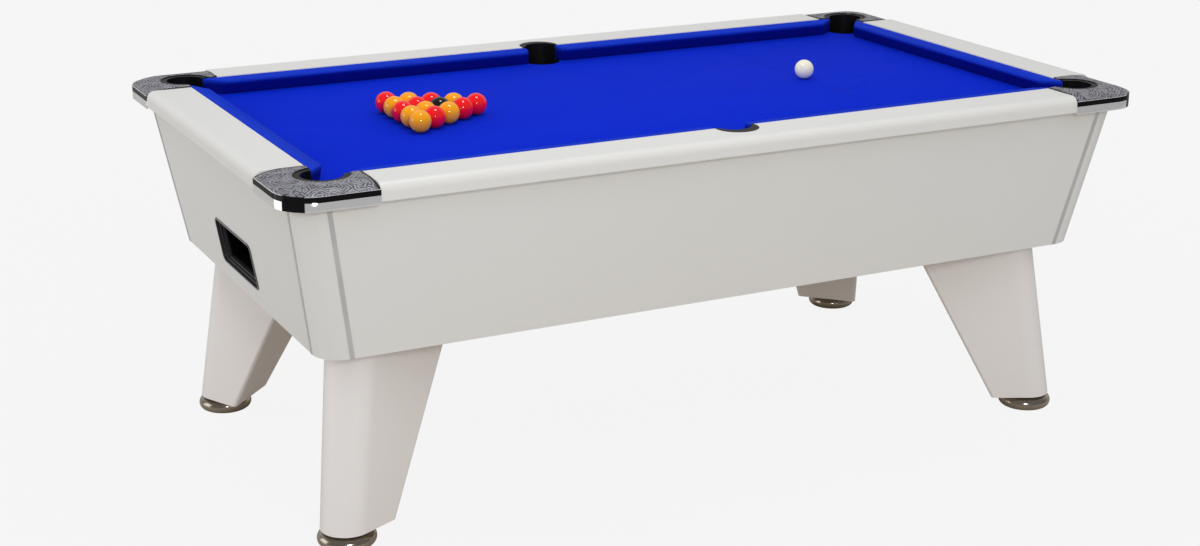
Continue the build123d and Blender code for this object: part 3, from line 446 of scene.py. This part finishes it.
def moulded_finish(name, shade, roughness, gloss=0.5):
    """Moulded plastic with a fine spark grain."""
    material, tree, sockets, place = finish_material(name, gloss=gloss)
    grain = add_group(tree, surface_grain, place, MOULDING_GRAIN)
    marks = add_group(tree, handling_marks, place, MOULDING_SMEARS)
    feed(tree, sockets["Base Color"], blend_colour(tree, grain["Tone"], darker(shade, 0.75), shade))
    feed(tree, sockets["Roughness"], spread(tree, marks["Smear"], roughness * 0.8, roughness * 1.25))
    feed(tree, sockets["Normal"], bump(tree, grain["Height"], distance=0.00008))
    return material


def bezel_finish(colours):
    """Dark moulded frame, with painted highlight on the ledges that face outwards."""
    material, tree, sockets, place = finish_material("bezel_moulding")
    sockets["Roughness"].default_value = 0.34
    grain = add_group(tree, surface_grain, place, MOULDING_GRAIN)
    # Painted highlight: faces that look along X take the lighter ledge colour
    outward = calc(tree, "GREATER_THAN", calc(tree, "ABSOLUTE", facing(tree, place)["X"]), FACING)
    ledge = calc(tree, "MULTIPLY", outward, spread(tree, grain["Tone"], 0.7, 1.0))
    feed(tree, sockets["Base Color"], blend_colour(tree, ledge, colours.bezel, colours.bezel_ledge_highlight))
    feed(tree, sockets["Normal"], bump(tree, grain["Height"], distance=0.00008))
    return material


def timber_finish(name, shade, scale, gloss=0.5):
    """Plain sawn timber, its grain along the stretched axis."""
    material, tree, sockets, place = finish_material(name, gloss=gloss)
    along = stretch(tree, place, scale)
    rings = noise(tree, along, TIMBER_RINGS, detail=6.0, rough=0.6)
    pores = noise(tree, along, TIMBER_PORES)
    ringed = calc(tree, "MULTIPLY", rings, 1 - PORE_SHARE)
    tone = calc(tree, "MULTIPLY_ADD", pores, PORE_SHARE, ringed)
    feed(tree, sockets["Base Color"], blend_colour(tree, tone, darker(shade, 0.55), shade))
    feed(tree, sockets["Roughness"], spread(tree, pores, 0.5, 0.72))
    feed(tree, sockets["Normal"], bump(tree, pores, distance=0.0002))
    return material


def resin_finish(name, shade):
    """Polished cast resin with a faint cloud in its colour."""
    material, tree, sockets, place = finish_material(name, gloss=0.8)
    marks = add_group(tree, handling_marks, place, RESIN_SMEARS)
    cloud = noise(tree, place, RESIN_CLOUDS, detail=3.0)
    feed(tree, sockets["Base Color"], blend_colour(tree, cloud, darker(shade, 0.93), shade))
    feed(tree, sockets["Roughness"], spread(tree, marks["Smear"], 0.03, 0.07))
    return material


def cloth_finish(name, settings, shade, painted_low_shade=None, marking=None):
    """Napped cloth, with painted shade low on the cushions' faces, or with the bed's baulk line and
    semicircle.
    """
    material, tree, sockets, place = finish_material(name, gloss=0.03)
    nap = add_group(tree, napped_weave, place, settings.thread_pitch)
    base = blend_colour(tree, nap["Tone"], darker(shade, 0.90), darker(shade, 1.08))
    base = blend_colour(tree, spread(tree, nap["Fibre"], 0.0, 0.35), base, darker(shade, 0.7))
    # Painted shade: the cushion cloth darkens from its top down its faces
    if painted_low_shade:
        start = CUSHION_LOW.z + CUSHION_SHADE_START * (CUSHION_HIGH.z - CUSHION_LOW.z)
        rise = ease(tree, split(tree, place)["Z"], start, CUSHION_HIGH.z)
        base = blend_colour(tree, rise, painted_low_shade, base)
    if marking:
        x, y, _ = split(tree, place)
        past_line = calc(tree, "SUBTRACT", x, settings.baulk_line)
        half = settings.marking_width / 2
        line = calc(tree, "COMPARE", past_line, 0.0, half)
        squares = calc(tree, "MULTIPLY_ADD", y, y, calc(tree, "MULTIPLY", past_line, past_line))
        ring = calc(tree, "COMPARE", calc(tree, "SQRT", squares), settings.semicircle, half)
        ring = calc(tree, "MULTIPLY", ring, calc(tree, "GREATER_THAN", past_line, 0.0))
        drawn = calc(tree, "MAXIMUM", line, ring)
        worn = calc(tree, "MULTIPLY", drawn, spread(tree, nap["Fibre"], 0.55, 1.0))
        base = blend_colour(tree, worn, base, marking)
    feed(tree, sockets["Base Color"], base)
    feed(tree, sockets["Roughness"], spread(tree, nap["Fibre"], 0.78, 0.95))
    feed(tree, sockets["Normal"], bump(tree, nap["Height"], distance=0.00025, strength=0.8))
    return material


def cap_finish(settings, colours):
    """Polished cap with dark enamel on its bevel and round its outer corner."""
    material, tree, sockets, place = finish_material("cap_metal", gloss=0.12)
    x, y, z = split(tree, place)
    radius = settings.corner_radius
    out_x = calc(tree, "SUBTRACT", calc(tree, "ABSOLUTE", x), CAP_HIGH.x - radius)
    out_y = calc(tree, "SUBTRACT", calc(tree, "ABSOLUTE", y), CAP_HIGH.y - radius)
    turn = calc(tree, "ARCTAN2", out_y, out_x)
    patch = calc(tree, "COMPARE", turn, math.pi / 4, settings.patch_angle)
    above = calc(tree, "GREATER_THAN", z, CAP_LOW.z + settings.bright_band)
    lying = calc(tree, "GREATER_THAN", facing(tree, place)["Z"], LYING)
    brim = calc(tree, "MULTIPLY", lying, calc(tree, "LESS_THAN", z, CAP_HIGH.z - settings.brim_depth))
    dark = calc(tree, "MAXIMUM", patch, calc(tree, "SUBTRACT", above, brim))
    drawn = add_group(tree, brushed_lines, stretch(tree, place, (1.0, 1.0, 0.2)), CAP_LINES)
    marks = add_group(tree, handling_marks, place, CAP_SMEARS)
    bright = blend_colour(tree, drawn["Lines"], darker(colours.cap, 0.94), colours.cap)
    feed(tree, sockets["Base Color"], blend_colour(tree, dark, bright, colours.enamel))
    feed(tree, sockets["Metallic"], spread(tree, dark, 0.55, 0.0))
    feed(tree, sockets["Roughness"], spread(tree, marks["Smear"], 0.05, 0.13))
    reach = (1 + CROWN_START) * settings.bright_band
    up = calc(tree, "SUBTRACT", z, CAP_LOW.z - CROWN_START * settings.bright_band)
    crown = calc(tree, "MULTIPLY", calc(tree, "MULTIPLY", up, up), -settings.band_crown / (2 * reach))
    height = calc(tree, "MULTIPLY_ADD", drawn["Lines"], LINE_DEPTH, crown)
    feed(tree, sockets["Normal"], bump(tree, height, distance=1.0))
    return material


def inlay_finish(colours):
    """Cast pewter plate with short tooled strokes, turned another way in each cell."""
    material, tree, sockets, place = finish_material("cap_pewter", metallic=0.4)
    flat = stretch(tree, place, (1.0, 1.0, 0.0))
    cells = add_node(tree, "ShaderNodeTexVoronoi", named={"Vector": flat, "Scale": STROKE_CELLS}).outputs
    chance = add_node(tree, "ShaderNodeSeparateColor", cells["Color"]).outputs["Red"]
    named = {"Vector": flat, "Angle": calc(tree, "MULTIPLY", chance, 2 * math.pi)}
    turned = add_node(tree, "ShaderNodeVectorRotate", rotation_type="Z_AXIS", named=named).outputs["Vector"]
    wave = calc(tree, "SINE", calc(tree, "MULTIPLY", split(tree, turned)["X"], STROKE_WAVES))
    worn = spread(tree, noise(tree, flat, STROKE_WEAR), *STROKE_DEPTHS)
    stroke = calc(tree, "MULTIPLY", calc(tree, "MULTIPLY_ADD", wave, 0.5, 0.5), worn, clamp=True)
    grain = add_group(tree, surface_grain, place, PEWTER_GRAIN)
    edge = calc(tree, "MULTIPLY", cells["Distance"], CELL_SLOPE, clamp=True)
    hollow = calc(tree, "MULTIPLY_ADD", edge, CELL_SHARE, calc(tree, "MULTIPLY", stroke, 1 - CELL_SHARE))
    tone = blend_colour(tree, grain["Tone"], darker(colours.inlay, 0.9), darker(colours.inlay, 1.12))
    feed(tree, sockets["Base Color"], blend_colour(tree, hollow, tone, darker(colours.inlay, 0.08)))
    feed(tree, sockets["Roughness"], spread(tree, hollow, 0.34, 0.58))
    raised = calc(tree, "SUBTRACT", 1.0, hollow)
    height = calc(tree, "MULTIPLY_ADD", grain["Height"], PEWTER_SHARE, raised)
    feed(tree, sockets["Normal"], bump(tree, height, distance=0.0006))
    return material


def slate_finish(colours):
    """Honed slate with fine bedding."""
    material, tree, sockets, place = finish_material("slate")
    layered = stretch(tree, place, (1.0, 1.0, 14.0))
    beds = noise(tree, layered, SLATE_BEDS, detail=6.0, rough=0.65)
    grain = add_group(tree, surface_grain, place, SLATE_GRAIN)
    dark, pale = darker(colours.slate, 0.7), darker(colours.slate, 1.3)
    feed(tree, sockets["Base Color"], blend_colour(tree, beds, dark, pale))
    feed(tree, sockets["Roughness"], spread(tree, beds, 0.5, 0.72))
    feed(tree, sockets["Normal"], bump(tree, grain["Height"], distance=0.0002))
    return material


# Pieces


def paint(material, *names):
    """Puts a finish on CAD nodes."""
    for name in names:
        slots = NODES[name].material_slots
        if not slots:
            NODES[name].data.materials.append(material)
        for slot in slots:
            slot.material = material


def at_corners(*stems):
    """Names of the nodes at the four corners."""
    return [f"{stem}_{corner}" for stem in stems for corner in CORNERS]


def at_sides(*stems):
    """Names of the nodes on the two long sides."""
    return [f"{stem}_{side}" for stem in stems for side in SIDES]


def only(*pieces):
    """Selects just these pieces, the last of them active."""
    bpy.ops.object.select_all(action="DESELECT")
    for piece in pieces:
        piece.select_set(True)
    bpy.context.view_layer.objects.active = pieces[-1]


def apply_modifier(piece, kind, **settings):
    """Adds a modifier to a piece and applies it."""
    only(piece)
    modifier = piece.modifiers.new(kind.lower(), kind)
    for key, value in settings.items():
        setattr(modifier, key, value)
    bpy.ops.object.modifier_apply(modifier=modifier.name)


def settle(piece, name, material):
    """Leaves a new piece at the origin with its own name and finish."""
    only(piece)
    bpy.ops.object.transform_apply(location=True, rotation=True, scale=True)
    piece.name = name
    piece.data.name = name
    piece.data.materials.clear()
    piece.data.materials.append(material)


class PieceOperator:
    """What the operators share"""

    bl_options = {"REGISTER", "UNDO"}


class POOLTABLE_OT_cabinet(PieceOperator, bpy.types.Operator):
    """Finish the cabinet's panels, its corner posts and the rails"""

    bl_idname = "pooltable.cabinet"
    bl_label = "Cabinet and Rails"

    def execute(self, context):
        white = laminate_finish("white_laminate", context.scene.pool_table.colours.laminate)
        paint(white, *at_sides("side_panel", "rail"), *at_corners("corner_post"))
        paint(white, "end_panel_window", "end_panel_plain", "rail_end_window", "rail_end_plain")
        return {"FINISHED"}


class POOLTABLE_OT_trim_strips(PieceOperator, bpy.types.Operator):
    """Finish the strips beside the corner posts"""

    bl_idname = "pooltable.trim_strips"
    bl_label = "Trim Strips"

    def execute(self, context):
        shade = context.scene.pool_table.colours.trim
        paint(moulded_finish("grey_trim", shade, roughness=0.42), "post_trim_strips")
        return {"FINISHED"}


class POOLTABLE_OT_corner_caps(PieceOperator, bpy.types.Operator):
    """Finish the metal corner caps and the textured plates let into them"""

    bl_idname = "pooltable.corner_caps"
    bl_label = "Corner Caps"

    def execute(self, context):
        settings = context.scene.pool_table
        paint(cap_finish(settings.caps, settings.colours), *at_corners("corner_cap"))
        paint(inlay_finish(settings.colours), "cap_inlays")
        return {"FINISHED"}


class POOLTABLE_OT_mouldings(PieceOperator, bpy.types.Operator):
    """Finish the pocket liners and the ball window's bezel"""

    bl_idname = "pooltable.mouldings"
    bl_label = "Pockets and Bezel"

    def execute(self, context):
        colours = context.scene.pool_table.colours
        black = moulded_finish("pocket_moulding", colours.moulding, roughness=0.40, gloss=0.15)
        paint(black, *at_corners("corner_pocket"), *at_sides("middle_pocket"))
        paint(bezel_finish(colours), "window_bezel")
        return {"FINISHED"}


class POOLTABLE_OT_legs(PieceOperator, bpy.types.Operator):
    """Finish the legs and the plates that they stand under"""

    bl_idname = "pooltable.legs"
    bl_label = "Legs"

    def execute(self, context):
        # The legs take the warmer copy of the laminate, painted warm bounce light
        shade = context.scene.pool_table.colours.legs
        paint(laminate_finish("leg_laminate", shade), *at_corners("leg"), "leg_plates")
        return {"FINISHED"}


class POOLTABLE_OT_feet(PieceOperator, bpy.types.Operator):
    """Finish the levelling feet"""

    bl_idname = "pooltable.feet"
    bl_label = "Levelling Feet"

    def execute(self, context):
        # The feet's nickel colour carries a painted darker reflection as well as the metal's own tint
        shade = context.scene.pool_table.colours.nickel
        nickel = metal_finish(
            "foot_nickel", shade, roughness=0.16, scale=(1.0, 1.0, 8.0), lines=NICKEL_LINES, depth=0.00001,
        )
        paint(nickel, *at_corners("levelling_foot"))
        return {"FINISHED"}


class POOLTABLE_OT_ball_return(PieceOperator, bpy.types.Operator):
    """Finish the ball runs, their uprights and the tray"""

    bl_idname = "pooltable.ball_return"
    bl_label = "Ball Return"

    def execute(self, context):
        # The board's near-black colour is partly painted shade for the inside of the cabinet
        shade = context.scene.pool_table.colours.board
        board = timber_finish("run_board", shade, scale=(0.08, 1.0, 1.0), gloss=0.06)
        paint(board, *at_sides("ball_run"), "cross_runs", "run_uprights", "ball_tray")
        return {"FINISHED"}


class POOLTABLE_OT_carcass(PieceOperator, bpy.types.Operator):
    """Finish the timber inside the cabinet and the slate"""

    bl_idname = "pooltable.carcass"
    bl_label = "Carcass and Slate"

    def execute(self, context):
        colours = context.scene.pool_table.colours
        lengthways = timber_finish("carcass_timber", colours.timber, scale=(0.06, 1.0, 1.0))
        crossways = timber_finish("bearer_timber", colours.timber, scale=(1.0, 0.06, 1.0))
        paint(lengthways, "cabinet_floor", "corner_blocks", "rail_corner_blocks")
        paint(crossways, "slate_bearers")
        paint(slate_finish(colours), "slate_bed")
        return {"FINISHED"}


class POOLTABLE_OT_fasteners(PieceOperator, bpy.types.Operator):
    """Finish the bolts, screws and threaded inserts"""

    bl_idname = "pooltable.fasteners"
    bl_label = "Fasteners"

    def execute(self, context):
        shade = context.scene.pool_table.colours.steel
        zinc = metal_finish(
            "zinc_steel", shade, roughness=0.34, scale=(1.0, 1.0, 3.0), lines=ZINC_LINES, depth=0.00002,
        )
        paint(zinc, "rail_bolts", "leg_bolts", "slate_screws", "leg_inserts")
        return {"FINISHED"}


class POOLTABLE_OT_balls(PieceOperator, bpy.types.Operator):
    """Finish the balls"""

    bl_idname = "pooltable.balls"
    bl_label = "Balls"

    def execute(self, context):
        colours = context.scene.pool_table.colours
        paint(resin_finish("red_resin", colours.red_ball), "red_balls")
        paint(resin_finish("yellow_resin", colours.yellow_ball), "yellow_balls")
        paint(resin_finish("black_resin", colours.black_ball), "black_ball")
        paint(resin_finish("cue_resin", colours.cue_ball), "cue_ball")
        return {"FINISHED"}


class POOLTABLE_OT_bed_cloth(PieceOperator, bpy.types.Operator):
    """Cut the bed cloth round the pockets and lay it on the slate"""

    bl_idname = "pooltable.bed_cloth"
    bl_label = "Bed Cloth"

    def pocket_cutter(self, settings):
        """One mesh of six cylinders, one at each pocket."""
        holes = []
        corner_x, corner_y = settings.corner_pocket
        centres = [(sx * corner_x, sy * corner_y) for sx in (-1, 1) for sy in (-1, 1)]
        centres += [(0.0, side * settings.middle_pocket) for side in (-1, 1)]
        for x, y in centres:
            bpy.ops.object.select_all(action="DESELECT")
            bpy.ops.mesh.primitive_cylinder_add(
                vertices=128, radius=settings.pocket_cut, depth=0.05, location=(x, y, CLOTH_HIGH.z),
            )
            holes.append(bpy.context.object)
        only(*holes)
        bpy.ops.object.join()
        return bpy.context.object

    def execute(self, context):
        settings = context.scene.pool_table.cloth
        size, middle = CLOTH_HIGH - CLOTH_LOW, (CLOTH_HIGH + CLOTH_LOW) / 2
        cutter = self.pocket_cutter(settings)
        bpy.ops.object.select_all(action="DESELECT")
        bpy.ops.mesh.primitive_cube_add(size=1, location=middle)
        cloth = bpy.context.object
        bpy.ops.object.mode_set(mode="EDIT")
        bpy.ops.transform.resize(value=size)
        bpy.ops.object.mode_set(mode="OBJECT")
        apply_modifier(cloth, "BOOLEAN", operation="DIFFERENCE", object=cutter, solver="EXACT")
        bpy.data.objects.remove(cutter)
        apply_modifier(cloth, "BEVEL", width=settings.edge_round, segments=2, limit_method="ANGLE")
        only(cloth)
        bpy.ops.object.shade_smooth_by_angle(angle=CLOTH_CREASE)
        colours = context.scene.pool_table.colours
        material = cloth_finish("bed_cloth", settings, colours.cloth, marking=colours.marking)
        settle(cloth, "bed_cloth_cover", material)
        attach(cloth, "table")
        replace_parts(cloth, "bed_cloth")
        return {"FINISHED"}


class POOLTABLE_OT_cushions(PieceOperator, bpy.types.Operator):
    """Draw the cloth covers over the six cushions, tucked in at their ends"""

    bl_idname = "pooltable.cushions"
    bl_label = "Cushions"

    def tuck_ends(self, piece, settings):
        """Shallow folds on the end faces, dying out along the cushion."""
        low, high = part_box(piece["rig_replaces"][0])
        along = 0 if high.x - low.x > high.y - low.y else 1
        moves = []
        for point in piece.data.vertices:
            inset = min(point.co[along] - low[along], high[along] - point.co[along])
            fade = max(0.0, 1 - inset / settings.tuck_reach) ** 2
            height = (point.co.z - low.z) / (high.z - low.z)
            wave = math.sin(2 * math.pi * point.co[1 - along] / settings.tuck_pitch + FOLD_LEAN * height)
            push = settings.tuck_depth * fade * (1 - height) * (wave - 1) / 2
            moves.append(point.co + point.normal * push)
        for point, place in zip(piece.data.vertices, moves):
            point.co = place

    def cover(self, node, settings, material):
        """One cushion's cover, remeshed from its CAD node and relaxed over it."""
        only(NODES[node])
        bpy.ops.object.duplicate(linked=False)
        piece = bpy.context.object
        piece.parent = None
        del piece["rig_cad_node"]
        bpy.ops.object.mode_set(mode="EDIT")
        bpy.ops.mesh.select_all(action="SELECT")
        bpy.ops.mesh.remove_doubles(threshold=0.00001)
        bpy.ops.object.mode_set(mode="OBJECT")
        piece.data.remesh_voxel_size = settings.voxel
        bpy.ops.object.voxel_remesh()
        apply_modifier(piece, "SMOOTH", factor=0.5, iterations=settings.relax)
        settle(piece, f"{node}_cover", material)
        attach(piece, "table")
        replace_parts(piece, node)
        self.tuck_ends(piece, settings)
        only(piece)
        bpy.ops.object.shade_smooth()

    def execute(self, context):
        settings = context.scene.pool_table.cloth
        colours = context.scene.pool_table.colours
        # The covers take the tops' painted light and the faces' painted shade
        top, face = colours.cushion_top_painted_light, colours.cushion_face_painted_shade
        material = cloth_finish("cushion_cloth", settings, top, painted_low_shade=face)
        for node in CUSHIONS:
            self.cover(node, settings, material)
        return {"FINISHED"}


class POOLTABLE_OT_stage(PieceOperator, bpy.types.Operator):
    """Set up the floor, the soft lamps, the backdrop and the camera"""

    bl_idname = "pooltable.stage"
    bl_label = "Stage"

    def floor(self, settings):
        """A pale floor with a faint shadow, which throws a warmer colour up under the table."""
        bpy.ops.object.select_all(action="DESELECT")
        bpy.ops.mesh.primitive_plane_add(size=settings.floor_size, location=(0, 0, 0))
        floor = bpy.context.object
        floor.name = "studio_floor"
        material = bpy.data.materials.new("studio_floor")
        material.use_nodes = True
        tree = material.node_tree
        tree.nodes.clear()
        place = tree.nodes.new("ShaderNodeTexCoord").outputs["Object"]
        far = add_node(tree, "ShaderNodeVectorMath", place, operation="LENGTH").outputs["Value"]
        pale = (settings.floor_tone,) * 3
        glow = add_node(tree, "ShaderNodeEmission", pale, 1.0).outputs[0]
        matt = add_node(tree, "ShaderNodeBsdfDiffuse", pale).outputs[0]
        even = ease(tree, far, *SHADOW_FADE, 1 - settings.shadow)
        shown = add_node(tree, "ShaderNodeMixShader", even, matt, glow).outputs[0]
        cast = blend_colour(tree, ease(tree, far, *BOUNCE_FADE), settings.underneath, settings.bounce)
        thrown = add_node(tree, "ShaderNodeBsdfDiffuse", cast).outputs[0]
        seen = tree.nodes.new("ShaderNodeLightPath").outputs["Is Camera Ray"]
        whole = add_node(tree, "ShaderNodeMixShader", seen, thrown, shown).outputs[0]
        add_node(tree, "ShaderNodeOutputMaterial", whole)
        floor.data.materials.append(material)

    def backdrop(self, settings):
        """Even light all round, a pale backdrop for the camera, and both in polished surfaces."""
        world = bpy.data.worlds.new("studio_backdrop")
        world.use_nodes = True
        tree = world.node_tree
        tree.nodes.clear()
        shown = add_node(tree, "ShaderNodeBackground", (settings.floor_tone,) * 3, 1.0).outputs[0]
        rays = tree.nodes.new("ShaderNodeLightPath").outputs
        way = tree.nodes.new("ShaderNodeTexCoord").outputs["Generated"]
        ahead = Vector((math.sin(settings.heading), math.cos(settings.heading), 0))
        behind = add_node(tree, "ShaderNodeVectorMath", way, ahead, operation="DOT_PRODUCT").outputs["Value"]
        mirrored = ease(tree, behind, *BACKDROP_FADE, settings.studio * settings.reflected, settings.mirrored)
        strength = spread(tree, rays["Is Glossy Ray"], settings.studio, mirrored)
        light = add_node(tree, "ShaderNodeBackground", (1.0, 1.0, 1.0), strength).outputs[0]
        whole = add_node(tree, "ShaderNodeMixShader", rays["Is Camera Ray"], light, shown).outputs[0]
        add_node(tree, "ShaderNodeOutputWorld", whole)
        bpy.context.scene.world = world

    def softbox(self, name, place, aim, size, power):
        """A rectangular lamp, aimed at a point."""
        bpy.ops.object.light_add(type="AREA", location=place)
        lamp = bpy.context.object
        lamp.name = name
        lamp.data.shape = "RECTANGLE"
        lamp.data.size, lamp.data.size_y = size
        lamp.data.energy = power
        lamp.rotation_mode = "QUATERNION"
        lamp.rotation_quaternion = (Vector(aim) - Vector(place)).to_track_quat("-Z", "Y")

    def camera(self, settings):
        """The camera, where the photo was taken from."""
        data = bpy.data.cameras.new("photo_camera")
        camera = bpy.data.objects.new("photo_camera", data)
        bpy.context.scene.collection.objects.link(camera)
        data.sensor_width = 36
        data.lens = settings.lens
        data.shift_x = settings.shift
        data.clip_end = 200
        level, fall = math.cos(settings.tilt), math.sin(settings.tilt)
        ahead = Vector((math.sin(settings.heading) * level, math.cos(settings.heading) * level, -fall))
        camera.location = settings.camera_place
        camera.rotation_mode = "QUATERNION"
        rolled = Euler((0, 0, settings.roll)).to_quaternion()
        camera.rotation_quaternion = ahead.to_track_quat("-Z", "Y") @ rolled
        bpy.context.scene.camera = camera

    def execute(self, context):
        settings = context.scene.pool_table.stage
        self.floor(settings)
        self.backdrop(settings)
        self.softbox("overhead_softbox", *OVERHEAD_LAMP, settings.overhead)
        self.softbox("front_softbox", *FRONT_LAMP, settings.front)
        self.softbox("side_softbox", *SIDE_LAMP, settings.side)
        self.camera(settings)
        context.scene.view_settings.view_transform = "Standard"
        return {"FINISHED"}


OPERATORS = (
    POOLTABLE_OT_cabinet,
    POOLTABLE_OT_trim_strips,
    POOLTABLE_OT_corner_caps,
    POOLTABLE_OT_mouldings,
    POOLTABLE_OT_legs,
    POOLTABLE_OT_feet,
    POOLTABLE_OT_ball_return,
    POOLTABLE_OT_carcass,
    POOLTABLE_OT_fasteners,
    POOLTABLE_OT_balls,
    POOLTABLE_OT_bed_cloth,
    POOLTABLE_OT_cushions,
    POOLTABLE_OT_stage,
)


class POOLTABLE_PT_sidebar(bpy.types.Panel):
    """The pool table's pieces and settings"""

    bl_idname = "POOLTABLE_PT_sidebar"
    bl_label = "Pool Table"
    bl_space_type = "VIEW_3D"
    bl_region_type = "UI"
    bl_category = "Pool Table"

    def draw(self, context):
        settings = context.scene.pool_table
        for operator in OPERATORS:
            self.layout.operator(operator.bl_idname)
        for part in (settings.colours, settings.caps, settings.cloth, settings.stage):
            box = self.layout.box()
            for key in part.bl_rna.properties.keys():
                if key not in {"rna_type", "name"}:
                    box.prop(part, key)


CLASSES = (
    PoolTableColours,
    PoolTableCaps,
    PoolTableCloth,
    PoolTableStage,
    PoolTableSettings,
    *OPERATORS,
    POOLTABLE_PT_sidebar,
)


def register():
    for cls in CLASSES:
        bpy.utils.register_class(cls)
    bpy.types.Scene.pool_table = PointerProperty(type=PoolTableSettings)


def unregister():
    del bpy.types.Scene.pool_table
    for cls in reversed(CLASSES):
        bpy.utils.unregister_class(cls)


def main():
    register()
    for operator in OPERATORS:
        getattr(bpy.ops.pooltable, operator.bl_idname.split(".")[1])()


if __name__ == "__main__":
    main()
